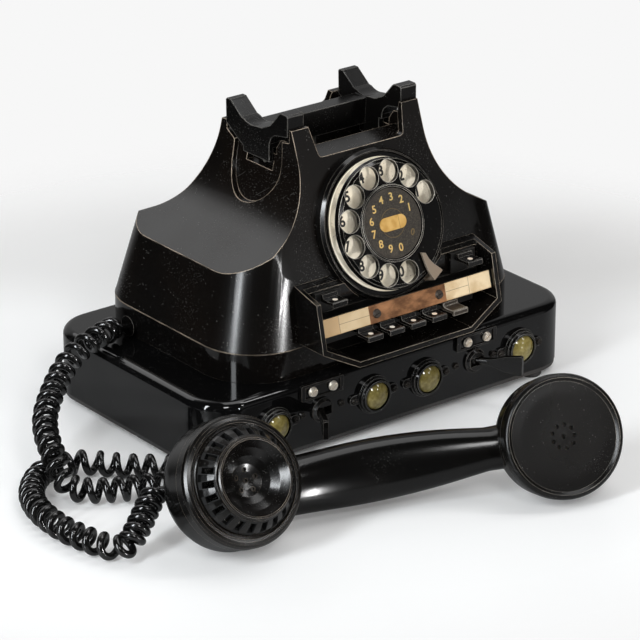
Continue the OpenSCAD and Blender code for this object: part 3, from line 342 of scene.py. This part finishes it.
# The curls open from the straight wire over the first and the last seven eighths of a turn.
wire, out = [], Vector((0, 0, 1))
for i, (centre, ahead) in enumerate(zip(middle, heading)):
    if i:
        out = (out - out.dot(ahead) * ahead).normalized()
    eighths = min(i - 1, top - 1 - i) * 8 / curl_steps
    swell = max(0.0, min(1.0, eighths / lead_eighths))
    swell = swell * swell * (3 - 2 * swell)
    turn = (i - 1) * 2 * math.pi / curl_steps
    wire.append(centre + coil_r * swell * (math.cos(turn) * out
                                           + math.sin(turn) * ahead.cross(out)))
made = bmesh.new()
rings, out = [], Vector((0, 0, 1))
for i, centre in enumerate(wire):
    ahead = (heading[i] if i < 2 or i > top - 2
             else (wire[i + 1] - wire[i - 1]).normalized())
    out = (out - out.dot(ahead) * ahead).normalized()
    over = ahead.cross(out)
    rings.append([made.verts.new((centre + wire_d / 2 * (
        math.cos(2 * math.pi * k / tube_sides) * out
        + math.sin(2 * math.pi * k / tube_sides) * over)) * MM) for k in range(tube_sides)])
for a, b in zip(rings, rings[1:]):
    for k in range(tube_sides):
        made.faces.new((a[k], a[(k + 1) % tube_sides], b[(k + 1) % tube_sides], b[k]))
made.faces.new(rings[0][::-1])
made.faces.new(rings[-1])

tree, shader, cord_cover = material("black_cord_cover")
spot = tree.node("ShaderNodeTexCoord", output="Object")
haze = tree.node("ShaderNodeTexNoise", (), {"Vector": spot, "Scale": 140, "Detail": 4})
grit = tree.node("ShaderNodeTexNoise", (), {"Vector": spot, "Scale": 2600, "Detail": 2})
dusty = haze.between(0.52, 0.75)
feed(tree, shader, Base_Color=(dusty * 0.5).tint((0.0032, 0.0031, 0.003), (0.016, 0.015, 0.014)),
     Roughness=haze.between(0.3, 0.75, 0.14, 0.22), Specular_IOR_Level=0.7,
     Normal=tree.node("ShaderNodeBump", (), {"Strength": 0.1, "Distance": 0.00012,
                                             "Height": grit}))
cord = add("curled_cord", made, cord_cover, smooth=60)
wire_path = [p * MM for p in wire]
wire_length = sum((b - a).length for a, b in zip(wire_path, wire_path[1:]))
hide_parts("curly_cord")
# The line from the table to the handset and a length along it, from the cord's tip; the point
# they give is not used.
lift_way, give = Vector((-0.3, -0.75, 0.6)).normalized(), 0.047
tip = outlet_tip * MM
tuple(tip - give * lift_way)
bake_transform(cord)


# Plinth: a low hollow case moulded in black resin, with a rounded top edge and a mirror
# polish, closed below by a screwed plate of painted sheet on four rubber feet.
joined_within = 0.000002


def paint(nodes, finish, smooth=0):
    """Gives CAD nodes a finish; smooth evens out facets up to that angle, in degrees."""
    for name in nodes.split():
        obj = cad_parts[name]
        if smooth:
            obj.data.normals_split_custom_set([(0, 0, 0)] * len(obj.data.loops))
            obj.data.shade_smooth()
            obj.data.attributes["sharp_edge"].data.foreach_set(
                "value", [False] * len(obj.data.edges))
            obj.modifiers.new("joined", "WELD").merge_threshold = joined_within
            crisp = obj.modifiers.new("crisp_edges", "EDGE_SPLIT")
            crisp.split_angle, crisp.use_edge_sharp = math.radians(smooth), False
            obj.modifiers.new("flat_faces", "WEIGHTED_NORMAL").mode = "FACE_AREA_WITH_ANGLE"
        if not obj.material_slots:
            obj.data.materials.append(finish)
        for slot in obj.material_slots:
            slot.material = finish


def moulding(name, colour, roughness, edge=0.5, wear_and_glint=0.6, worn_and_glint=(0.20, 0.155, 0.115),
             scratches=0.5, dust=0.4, streaks=0.0, haze=0.05, brown=0.3, grain=0.03,
             metallic=0.0, gloss=0.5, spared=None):
    """A hard pressed or enamelled surface: rounded edges, rubbed and painted with pale glints,
    hairline scratches, dust.
    """
    tree, shader, made = material(name)
    spot = tree.node("ShaderNodeTexCoord", output="Object")
    facing = tree.node("ShaderNodeNewGeometry", output="Normal")
    # Rub, and a painted pale glint, on edges that stand free: the rounded normal turns away from
    # the face there.
    rounded = tree.node("ShaderNodeBevel", {"samples": 6}, {"Radius": edge * MM})
    turned = 1 - rounded.dot(facing)
    patch = tree.node("ShaderNodeTexNoise", (), {"Vector": spot, "Scale": 55, "Detail": 5})
    rub_and_glint = turned.between(0.006, 0.05) * patch.between(0.34, 0.60, 0.3, 1) * wear_and_glint
    open_side = tree.node("ShaderNodeAmbientOcclusion", {"samples": 6}, {"Distance": 0.003}, "AO")
    rub_and_glint = rub_and_glint * open_side.between(0.62, 0.82)
    if spared:
        # Small drilled holes keep their edges: no rub or painted glint within this radius of this
        # centre.
        centre, radius = spared
        apart = tree.node("ShaderNodeVectorMath", {"operation": "DISTANCE"},
                          {0: spot, 1: centre}, "Value")
        rub_and_glint = rub_and_glint * apart.between(radius, radius * 1.02)
    # Hairline scratches in three directions, gathered in some regions, and specks of dust.
    lines = None
    for angle, stretch in ((0.35, (0.6, 31, 0.7)), (-0.9, (24, 0.5, 0.7)), (2.1, (0.6, 0.6, 37))):
        turned_spot = tree.node("ShaderNodeMapping", {"vector_type": "TEXTURE"}, {
            "Vector": spot, "Rotation": (angle, angle * 0.7, angle * 1.3),
            "Scale": tuple(s * MM for s in stretch)})
        hair = tree.node("ShaderNodeTexNoise", (), {"Vector": turned_spot, "Scale": 1,
                                                    "Detail": 0}).between(0.76, 0.80)
        lines = hair if lines is None else lines.maths("MAXIMUM", lines, hair)
    region = tree.node("ShaderNodeTexNoise", (), {"Vector": spot, "Scale": 26, "Detail": 2})
    lines = lines * region.between(0.42, 0.66) * scratches
    specks = tree.node("ShaderNodeTexVoronoi", (), {"Vector": spot, "Scale": 620},
                       "Distance") < 0.16
    motes = tree.node("ShaderNodeTexNoise", (), {"Vector": spot, "Scale": 210, "Detail": 1})
    specks = specks * motes.between(0.58, 0.66) * dust
    # Broad smears that vary the colour and the gloss, and the relief of all these.
    smear = tree.node("ShaderNodeTexNoise", (), {"Vector": spot, "Scale": 14, "Detail": 6})
    warm = tuple(c * f for c, f in zip(colour, (1.5, 1.1, 0.8)))
    base = (smear.between(0.35, 0.7) * brown).tint(colour, warm)
    pale_dust = (0.16, 0.155, 0.145)
    base = (lines * 0.35 + specks).tint(base, pale_dust)
    # Painted highlight together with wear: the pale colour on free edges.
    base = rub_and_glint.tint(base, worn_and_glint)
    rough = smear.between(0.3, 0.7, roughness, roughness + haze) + lines * 0.25 + specks * 0.3
    rough = rough + rub_and_glint * 0.25
    relief = lines * -0.5 + patch * 0.03
    if streaks:
        rubbed = tree.node("ShaderNodeMapping", (), {"Vector": spot, "Scale": (2600, 2600, 55)})
        comb = tree.node("ShaderNodeTexNoise", (), {"Vector": rubbed, "Scale": 1, "Detail": 3})
        relief = relief + comb * streaks
    if grain:
        pits = tree.node("ShaderNodeTexNoise", (), {"Vector": spot, "Scale": 1900, "Detail": 2})
        relief = relief + pits * grain
    feed(tree, shader, Base_Color=base, Roughness=rough, Specular_IOR_Level=gloss,
         Metallic=metallic,
         Normal=tree.node("ShaderNodeBump", (), {"Strength": 0.3, "Distance": 0.00004,
                                                 "Height": relief, "Normal": rounded}))
    return made


paint("plinth_case", moulding("plinth_polish", (0.0024, 0.0024, 0.0025), 0.045, edge=0.4,
                              wear_and_glint=0.35, scratches=0.25, dust=0.2, haze=0.03, brown=0.1,
                              grain=0.0), smooth=30)
paint("bottom_plate", moulding("painted_sheet", (0.03, 0.03, 0.03), 0.4, grain=0.2, wear_and_glint=0.5))
paint("rubber_feet line_inlet", moulding("black_rubber", (0.022, 0.022, 0.022), 0.6, grain=0.4,
                                         wear_and_glint=0.1, scratches=0.1))
steel = moulding("bright_steel", (0.55, 0.54, 0.51), 0.26, wear_and_glint=0.2, worn_and_glint=(0.7, 0.68, 0.64),
                 metallic=0.95, grain=0.1, brown=0.15)
paint("plate_screws hood_screws dial_shaft key_rods cradle_pins hook_plunger ringer_frame "
      "clapper transmitter_capsule receiver_capsule", steel)


# Tray and hood: two mouldings of black resin, screwed together from inside. The tray stands
# upright on the plinth; the hood tapers to the saddle, and its edges are rubbed pale brown and
# painted with pale glints.
paint("hood_skirt", moulding("tray_gloss", (0.0024, 0.0022, 0.0021), 0.06, edge=0.45, wear_and_glint=1.0,
                             worn_and_glint=(0.38, 0.30, 0.22), scratches=0.3, dust=0.4, brown=0.5),
      smooth=30)
paint("hood_shell", moulding("hood_gloss", (0.0027, 0.0023, 0.0020), 0.2, edge=0.6, wear_and_glint=1.0,
                             worn_and_glint=(0.62, 0.50, 0.38), scratches=0.7, dust=0.55, streaks=0.8,
                             haze=0.07, brown=0.9, grain=0.1), smooth=30)


# Lamps: four stepped black bezels, each held by its two ears, with a domed lens of olive
# yellow glass over a bulb in a brass socket. The glass is painted palest low on its right side,
# a painted glow for light that passes through it.
# The bezels' stepped edges are painted with pale glints.
paint("lamp_bezels", moulding("bezel_black", (0.0026, 0.0025, 0.0024), 0.1, edge=0.35, wear_and_glint=0.8,
                              worn_and_glint=(0.26, 0.25, 0.23), scratches=0.4, dust=0.4))
tree, shader, lens_glass = material("olive_lens")
spot = tree.node("ShaderNodeTexCoord", output="Object")
across = tree.node("ShaderNodeSeparateXYZ", (), {0: spot}, "X")
lamp_x, lamp_z = (-0.0915, -0.0195, 0.0195, 0.0915), 0.0213
lens_r, lens_field, painted_glow_right, painted_glow_down = 0.0085, 0.011, 0.62, 0.78
nearest = None
for x in lamp_x:
    inside = abs(across - x) < lens_field
    offset = (across - x) * inside
    nearest = offset if nearest is None else nearest + offset
height = tree.node("ShaderNodeSeparateXYZ", (), {0: spot}, "Z") - lamp_z
# Painted light: each lens is painted paler low on its right, a glow for light passing through.
painted_glow = (nearest * painted_glow_right - height * painted_glow_down) / lens_r
rim = (nearest * nearest + height * height).root() / lens_r
cloud = tree.node("ShaderNodeTexNoise", (), {"Vector": spot, "Scale": 420, "Detail": 5})
grains = tree.node("ShaderNodeTexVoronoi", (), {"Vector": spot, "Scale": 1300}, "Distance")
tone = cloud.between(0.3, 0.7).tint((0.15, 0.118, 0.030), (0.30, 0.245, 0.085))
tone = (grains.between(0.1, 0.6) * 0.3).tint(tone, (0.19, 0.155, 0.045))
tone = painted_glow.between(0.35, 0.95).tint(tone, (0.56, 0.50, 0.25))
tone = rim.between(0.86, 0.99).tint(tone, (0.055, 0.048, 0.02))
domed = tree.node("ShaderNodeBump", (), {"Strength": 1, "Distance": 0.0015,
                                         "Height": 1 - rim * rim})
feed(tree, shader, Base_Color=tone, Roughness=0.07, Specular_IOR_Level=0.8,
     Normal=tree.node("ShaderNodeBump", (), {"Strength": 0.12, "Distance": 0.0002,
                                             "Height": cloud, "Normal": domed}))
paint("lamp_lenses", lens_glass)
brass = moulding("lamp_brass", (0.62, 0.44, 0.17), 0.3, metallic=0.9, wear_and_glint=0.2,
                 worn_and_glint=(0.7, 0.55, 0.3), brown=0.4)
paint("lamp_sockets gongs", brass)
tree, shader, bulb_glass = material("clear_bulb")
feed(tree, shader, Base_Color=(0.93, 0.9, 0.82), Roughness=0.05, Transmission_Weight=0.6)
paint("lamp_bulbs", bulb_glass)


# Front fittings: blackened round-head screws, two small moulded label holders with pale
# slotted screws, and two switches whose moulded levers swing in domed collars.
paint("front_screws", moulding("blackened_screw", (0.02, 0.0185, 0.017), 0.2, edge=0.2,
                               wear_and_glint=0.5, worn_and_glint=(0.2, 0.17, 0.13), metallic=0.5, dust=0.2))
paint("label_holders switch_collars cord_gland handset_gland",
      moulding("fitting_black", (0.0027, 0.0025, 0.0024), 0.13, edge=0.3, wear_and_glint=0.6,
               worn_and_glint=(0.18, 0.16, 0.14), dust=0.5))
paint("label_screws", moulding("pale_screw", (0.72, 0.69, 0.61), 0.27, edge=0.2, wear_and_glint=0.4,
                               worn_and_glint=(0.9, 0.87, 0.8), metallic=0.7, scratches=0.3, dust=0,
                               brown=0.25, grain=0.3))
paint("lever_left lever_right", moulding("lever_black", (0.0026, 0.0025, 0.0024), 0.1, edge=0.4,
                                         wear_and_glint=0.5, worn_and_glint=(0.2, 0.18, 0.155), scratches=0.4,
                                         dust=0.3, brown=0.5, gloss=0.3))
board = moulding("brown_board", (0.17, 0.085, 0.045), 0.45, wear_and_glint=0.2, worn_and_glint=(0.3, 0.2, 0.12),
                 grain=0.3)
paint("switch_bodies hook_switch terminal_block", board)


# Dial: a black base with a cream enamel ring that carries black figures, a black finger
# wheel with ten holes, a dark card with gilt figures and a small brass plate in its middle,
# and a dull silver finger stop on a leg.
dial_at, dial_lean = (0, -61.8, 115.55), 19.4
dial_place = Matrix.Translation(Vector(dial_at) * MM) @ \
    Matrix.Rotation(math.radians(90 - dial_lean), 4, "X")
hole_first, hole_step, hole_ring = 24.2, 28.3, 30.0
print_t, curve_steps = 0.05, 6


def round_the_dial(radius, angle, shift=0.0):
    """A place on the dial's face, at that angle from its right, in degrees."""
    return (radius * math.cos(math.radians(angle)) + shift,
            radius * math.sin(math.radians(angle)))


def figures(name, marks, height, z, finish, body, weight):
    """Printed figures on the dial: each mark is its text, its place, its tilt and its size."""
    made = bmesh.new()
    for text, (x, y), tilt, size in marks:
        curve = bpy.data.curves.new(name, "FONT")
        curve.body, curve.size = text, height * size * MM
        curve.align_x, curve.align_y = "CENTER", "CENTER"
        curve.extrude, curve.offset = print_t * MM / 2, weight * MM
        curve.resolution_u = curve_steps
        stand_in = bpy.data.objects.new(name, curve)
        flat = bpy.data.meshes.new_from_object(stand_in)
        flat.transform(dial_place @ Matrix.Translation(Vector((x, y, z + print_t / 2)) * MM)
                       @ Matrix.Rotation(math.radians(tilt), 4, "Z"))
        made.from_mesh(flat)
        bpy.data.objects.remove(stand_in)
        bpy.data.curves.remove(curve)
        bpy.data.meshes.remove(flat)
    add(name, made, finish, body)


def round_mark(name, place, rings, finish, body, turns):
    """A small turned piece from its section, given as distance and height in millimetres."""
    made = bmesh.new()
    loops = []
    for r, h in rings:
        if r:
            loops.append([made.verts.new(place @ (Vector((
                r * math.cos(2 * math.pi * k / turns), r * math.sin(2 * math.pi * k / turns),
                h)) * MM)) for k in range(turns)])
        else:
            loops.append([made.verts.new(place @ (Vector((0, 0, h)) * MM))])
    for a, b in zip(loops, loops[1:]):
        for k in range(turns):
            corners = [a[k % len(a)], a[(k + 1) % len(a)], b[(k + 1) % len(b)], b[k % len(b)]]
            made.faces.new([c for i, c in enumerate(corners) if c not in corners[:i]])
    bmesh.ops.recalc_face_normals(made, faces=made.faces)
    add(name, made, finish, body)


paint("dial_base", moulding("dial_base_black", (0.0025, 0.0024, 0.0023), 0.09, edge=0.4, wear_and_glint=0.6,
                            worn_and_glint=(0.25, 0.22, 0.19), scratches=0.5, dust=0.4))
tree, shader, cream = material("cream_enamel")
spot = tree.node("ShaderNodeTexCoord", output="Object")
cloud = tree.node("ShaderNodeTexNoise", (), {"Vector": spot, "Scale": 60, "Detail": 6})
flecks = tree.node("ShaderNodeTexNoise", (), {"Vector": spot, "Scale": 900, "Detail": 2})
tone = cloud.between(0.3, 0.75).tint((0.98, 0.89, 0.72), (0.92, 0.80, 0.60))
tone = (flecks.between(0.64, 0.7) * 0.5).tint(tone, (0.25, 0.18, 0.1))
feed(tree, shader, Base_Color=tone, Roughness=cloud.between(0.3, 0.7, 0.2, 0.32))
black_edge = moulding("ring_edge_black", (0.0026, 0.0025, 0.0024), 0.12, edge=0.2, wear_and_glint=0.2)
paint("number_ring", black_edge)
plate_section = [
    (12.5, 4.2), (12.5, 6.3), (22.6, 6.3), (23.6, 6.15), (25.5, 5.75), (27.8, 5.55), (30, 5.5),
    (32.4, 5.55), (34.8, 5.75), (37, 6.2), (38.2, 6.5), (38.7, 6.5), (38.8, 6.3), (38.8, 5.45),
    (23.9, 5.45), (23.9, 4.2), (12.5, 4.2)]
plate_turns, circle_turns = 120, 96
round_mark("enamel_plate", dial_place, plate_section, cream, "telephone", plate_turns)
ink = moulding("black_ink", (0.012, 0.011, 0.010), 0.4, edge=0.02, wear_and_glint=0, dust=0, scratches=0)
around = [(str((i + 1) % 10), hole_first + hole_step * i) for i in range(10)]
ring_figure_h, ring_top, ring_shift = 8.5, 5.62, 0.5
figures("ring_figures", [(text, round_the_dial(hole_ring, a, ring_shift), 0, 1)
                         for text, a in around],
        ring_figure_h, ring_top, ink, "telephone", 0.25)
# The wheel's rims are painted with pale glints.
paint("finger_wheel", moulding("wheel_enamel", (0.0025, 0.0024, 0.0023), 0.09, edge=0.45,
                               wear_and_glint=1.0, worn_and_glint=(0.68, 0.63, 0.55), scratches=0.5, dust=0.4,
                               haze=0.05, brown=0.4, gloss=0.3))
tree, shader, card = material("dark_card")
spot = tree.node("ShaderNodeTexCoord", output="Object")
fleck = tree.node("ShaderNodeTexNoise", (), {"Vector": spot, "Scale": 1500, "Detail": 3})
stain = tree.node("ShaderNodeTexNoise", (), {"Vector": spot, "Scale": 90, "Detail": 4})
tone = fleck.between(0.42, 0.68).tint((0.018, 0.014, 0.010), (0.062, 0.050, 0.036))
tone = (stain.between(0.5, 0.8) * 0.5).tint(tone, (0.09, 0.07, 0.05))
feed(tree, shader, Base_Color=tone, Roughness=0.42,
     Normal=tree.node("ShaderNodeBump", (), {"Strength": 0.25, "Distance": 0.0001,
                                             "Height": fleck}))
paint("dial_card", card)
gilt = moulding("gilt_print", (0.60, 0.44, 0.16), 0.38, edge=0.02, wear_and_glint=0, dust=0, scratches=0,
                metallic=0.25, brown=0.5)
card_r, card_top, card_figure_h = 15.0, 14.2, 6.4
figures("card_figures", [(text, round_the_dial(card_r, a), 0, 1) for text, a in around],
        card_figure_h, card_top, gilt, "dial", 0.1)
faded_gilt = moulding("faded_gilt", (0.13, 0.095, 0.035), 0.45, edge=0.02, wear_and_glint=0, dust=0,
                      scratches=0, brown=0.5)
faded_angle, faded_tilt, faded_size = -33, -24, 0.85
figures("faded_figure", [("0", round_the_dial(card_r, faded_angle), faded_tilt, faded_size)],
        card_figure_h, card_top, faded_gilt, "dial", 0.08)
circle_in, circle_out, circle_top = 8.15, 8.4, 14.26
round_mark("card_circle", dial_place,
           [(circle_in, card_top), (circle_in, circle_top), (circle_out, circle_top),
            (circle_out, card_top)], faded_gilt, "dial", circle_turns)
tree, shader, worn_brass = material("worn_brass_plate")
spot = tree.node("ShaderNodeTexCoord", output="Object")
cloud = tree.node("ShaderNodeTexNoise", (), {"Vector": spot, "Scale": 260, "Detail": 6})
across = tree.node("ShaderNodeSeparateXYZ", (), {0: spot}, "X")
seam_x, seam_half = 0.0042, 0.00012
seam = abs(across - seam_x) < seam_half
tone = cloud.between(0.3, 0.7).tint((0.56, 0.31, 0.075), (0.68, 0.42, 0.13))
tone = (seam * 0.8).tint(tone, (0.2, 0.11, 0.03))
feed(tree, shader, Base_Color=tone, Roughness=cloud.between(0.3, 0.7, 0.34, 0.5), Metallic=0.3,
     Normal=tree.node("ShaderNodeBump", (), {"Strength": 0.2, "Distance": 0.0001,
                                             "Height": cloud}))
paint("card_plate", worn_brass)
dull = moulding("dull_silver", (0.27, 0.24, 0.20), 0.34, edge=0.3, wear_and_glint=0.6,
                worn_and_glint=(0.62, 0.58, 0.52), metallic=0.55, brown=0.5, grain=0.3, dust=0.2)
paint("finger_stop capacitor", dull)
paint("dial_mechanism", moulding("plated_steel", (0.42, 0.40, 0.36), 0.32, metallic=0.9,
                                 wear_and_glint=0.2, worn_and_glint=(0.6, 0.58, 0.5)))


# Keys: an open housing of black resin on the hood front, a guide block, steel rods, and seven
# sprung black keys. Six have a small white inlay for the thumb; the fifth low one is worn grey.
paint("key_panel_frame", moulding("housing_black", (0.0026, 0.0024, 0.0022), 0.12, edge=0.5,
                                  wear_and_glint=1.0, worn_and_glint=(0.48, 0.40, 0.31), scratches=0.6, dust=0.5,
                                  brown=0.6))
paint("key_bank strip_carrier", moulding("guide_black", (0.004, 0.0038, 0.0036), 0.3, edge=0.3,
                                         wear_and_glint=0.3, grain=0.2, dust=0.5))
paint("key_1 key_2 key_3 key_4 key_left key_right",
      moulding("key_black", (0.0035, 0.0032, 0.003), 0.17, edge=0.3, wear_and_glint=1.0,
               worn_and_glint=(0.36, 0.33, 0.29), scratches=0.6, dust=0.6, brown=0.5))
paint("key_5", moulding("key_worn_grey", (0.017, 0.015, 0.0125), 0.24, edge=1.1, wear_and_glint=1.0,
                        worn_and_glint=(0.42, 0.38, 0.32), scratches=1.0, dust=1.0, brown=1.0, grain=0.3))
inlay = moulding("white_inlay", (0.72, 0.68, 0.60), 0.28, edge=0.1, wear_and_glint=0.2,
                 worn_and_glint=(0.4, 0.33, 0.25), scratches=0.3, dust=0.2, brown=0.6)
key_pitch, low_key_y, low_key_z = 15.7, -94.1, 66.5
high_key_x, high_key_y, high_key_z = 49.9, -84.8, 89.2
inlay_section = [(1.55, -0.05), (1.55, 0.08), (1.25, 0.16), (0.7, 0.2), (0, 0.2)]
inlay_turns, inlay_forward = 32, 0.6
dots = [("key_%d" % (i + 1), (i - 2) * key_pitch, low_key_y, low_key_z) for i in range(4)]
dots += [("key_left", -high_key_x, high_key_y, high_key_z),
         ("key_right", high_key_x, high_key_y, high_key_z)]
for body, x, y, z in dots:
    round_mark("dot_" + body, Matrix.Translation(Vector((x, y - inlay_forward, z)) * MM),
               inlay_section, inlay, body, inlay_turns)


# Strip above the lower keys: a worn copper plate between two yellowed papers with thin
# ruled lines, held by two dark slotted screws on a black carrier.
tree, shader, copper = material("worn_copper")
spot = tree.node("ShaderNodeTexCoord", output="Object")
streaked = tree.node("ShaderNodeMapping", (), {"Vector": spot, "Scale": (1, 1.5, 2)})
cloud = tree.node("ShaderNodeTexNoise", (), {"Vector": streaked, "Scale": 70, "Detail": 8,
                                             "Roughness": 0.65})
drag = tree.node("ShaderNodeMapping", (), {"Vector": spot, "Scale": (60, 900, 900)})
scores = tree.node("ShaderNodeTexNoise", (), {"Vector": drag, "Scale": 1, "Detail": 3})
tone = cloud.between(0.36, 0.64).tint((0.13, 0.054, 0.020), (0.36, 0.165, 0.068))
tone = cloud.between(0.62, 0.74).tint(tone, (0.46, 0.28, 0.13))
tone = (scores.between(0.6, 0.72) * 0.5).tint(tone, (0.10, 0.05, 0.025))
feed(tree, shader, Base_Color=tone, Roughness=cloud.between(0.3, 0.7, 0.3, 0.48), Metallic=0.35,
     Normal=tree.node("ShaderNodeBump", (), {"Strength": 0.3, "Distance": 0.0001,
                                             "Height": scores}))
paint("copper_strip", copper)
strip_z, strip_lean, paper_edge, paper_half = 0.075, 15.1, 0.0042, 0.0053
strip_rise = math.cos(math.radians(strip_lean))
left_rule, right_rule, rule_half = -0.0498, 0.0457, 0.00014
tree, shader, paper = material("yellowed_paper")
spot = tree.node("ShaderNodeTexCoord", output="Object")
across = tree.node("ShaderNodeSeparateXYZ", (), {0: spot}, "X")
height = (tree.node("ShaderNodeSeparateXYZ", (), {0: spot}, "Z") - strip_z) / strip_rise
cloud = tree.node("ShaderNodeTexNoise", (), {"Vector": spot, "Scale": 110, "Detail": 7})
fibres = tree.node("ShaderNodeTexNoise", (), {"Vector": spot, "Scale": 2200, "Detail": 3})
upright = (abs(across - left_rule) < rule_half) + (abs(across - right_rule) < rule_half)
inner = (across > left_rule) * (across < right_rule)
level_rule = (abs(height) < rule_half) * inner
tone = cloud.between(0.38, 0.68).tint((0.77, 0.61, 0.39), (0.58, 0.415, 0.23))
tone = ((across < 0) * 0.7).tint(tone, (0.52, 0.395, 0.235))
tone = ((across < left_rule) * 0.7).tint(tone, (0.46, 0.29, 0.14))
tone = (abs(height).between(paper_edge, paper_half) * 0.45).tint(tone, (0.40, 0.25, 0.11))
ruled = upright + level_rule
tone = (ruled.maths("MINIMUM", ruled, 1) * 0.75).tint(tone, (0.07, 0.05, 0.035))
tone = (fibres.between(0.55, 0.75) * 0.25).tint(tone, (0.45, 0.30, 0.16))
feed(tree, shader, Base_Color=tone, Roughness=0.7, Specular_IOR_Level=0.3,
     Normal=tree.node("ShaderNodeBump", (), {"Strength": 0.15, "Distance": 0.0001,
                                             "Height": fibres}))
paint("paper_strips", paper)
paint("strip_screws", moulding("dark_screw", (0.045, 0.038, 0.032), 0.34, edge=0.25, wear_and_glint=0.6,
                               worn_and_glint=(0.22, 0.18, 0.14), metallic=0.5, grain=0.2))


# Cradle: two forks joined by a bar, one black moulding that stands in the saddle and sinks
# on its steel pins under the handset, which has rubbed it to a satin.
paint("cradle", moulding("cradle_satin", (0.0028, 0.0027, 0.0026), 0.16, edge=1.0, wear_and_glint=0.6,
                         worn_and_glint=(0.26, 0.245, 0.22), scratches=0.5, dust=0.3, brown=0.3,
                         grain=0.3, haze=0.12))


# Inside, on the base plate: the two coils of the ringer and the speech coil, each of fine
# copper wire wound on a bobbin in even turns and dipped in brown lacquer.
tree, shader, winding = material("lacquered_winding")
spot = tree.node("ShaderNodeTexCoord", output="Object")
turns = tree.node("ShaderNodeTexWave", {"bands_direction": "Y"},
                  {"Vector": spot, "Scale": 900, "Distortion": 0.4})
tone = turns.tint((0.16, 0.05, 0.02), (0.42, 0.16, 0.07))
feed(tree, shader, Base_Color=tone, Roughness=0.35,
     Normal=tree.node("ShaderNodeBump", (), {"Strength": 0.5, "Distance": 0.0003,
                                             "Height": turns}))
paint("ringer_coils induction_coil", winding)


# Handset: one polished moulding of black resin from bowl to bowl, a screwed-on mouth cap with
# slots and a proud funnel, and a dished ear cap, with fine scratches and thin rims, rubbed and
# painted with pale glints.
paint("handset_handle", moulding("handle_gloss", (0.0024, 0.0023, 0.0022), 0.14, edge=0.5,
                                 wear_and_glint=0.5, worn_and_glint=(0.2, 0.17, 0.14), scratches=0.25, dust=0.06,
                                 haze=0.05, brown=0.5, gloss=0.4), smooth=30)
mouth_finish = moulding("mouth_cap_gloss", (0.0026, 0.0024, 0.0022), 0.2, edge=0.35, wear_and_glint=0.9,
                        worn_and_glint=(0.30, 0.24, 0.18), scratches=0.4, dust=0.4, brown=0.8)
# Painted shade: the cap is painted black in slot shapes over its cut slots, for the dark inside
# them.
slot_count, slot_inner, slot_outer, slot_half = 22, 23.4, 29.3, 2.1
mouth_at, mouth_tip, mouth_tilt = (-2.5, 0, 8.6), math.radians(-5), math.radians(14.3)
mouth_place = handset_place @ Matrix.Translation(mouth_at) \
    @ Matrix.Rotation(mouth_tip, 4, "X") @ Matrix.Rotation(mouth_tilt, 4, "Y")
tree = Socket(mouth_finish.node_tree)
shader = mouth_finish.node_tree.nodes["Principled BSDF"]
spot = tree.node("ShaderNodeTexCoord", output="Object")
x_way, y_way = (mouth_place.col[k].to_3d() for k in range(2))
cap_middle = mouth_place.to_translation() * MM
u = spot.dot(tuple(x_way)) - cap_middle.dot(x_way)
v = spot.dot(tuple(y_way)) - cap_middle.dot(y_way)
from_middle = (u * u + v * v).root()
around_cap = u.maths("ARCTAN2", v, u) * (slot_count / (2 * math.pi)) + 0.5
along = abs(around_cap.maths("FRACT", around_cap) - 0.5) * from_middle \
    * (2 * math.pi / slot_count)
slot_shade_mask = (along < slot_half * MM) * (from_middle > slot_inner * MM) \
    * (from_middle < slot_outer * MM)
gloss_of_cap = Socket(tree.tree, shader.inputs["Roughness"].links[0].from_socket)
colour_of_cap = Socket(tree.tree, shader.inputs["Base Color"].links[0].from_socket)
slot_shade_black, slot_roughness = (0.0005, 0.0005, 0.0005), 0.7
feed(tree, shader, Base_Color=slot_shade_mask.tint(colour_of_cap, slot_shade_black),
     Roughness=slot_shade_mask * slot_roughness + gloss_of_cap * (1 - slot_shade_mask))
paint("mouth_cap", mouth_finish)
rosette_at, rosette_r = handset_place @ Vector((186, 0, -1.6)) * MM, 0.02
paint("ear_cap", moulding("ear_cap_gloss", (0.0028, 0.0026, 0.0024), 0.23, edge=0.4, wear_and_glint=0.9,
                          worn_and_glint=(0.30, 0.27, 0.23), scratches=0.4, dust=0.6, brown=0.4,
                          grain=1.2, gloss=0.35,
                          spared=(tuple(rosette_at), rosette_r)), smooth=30)
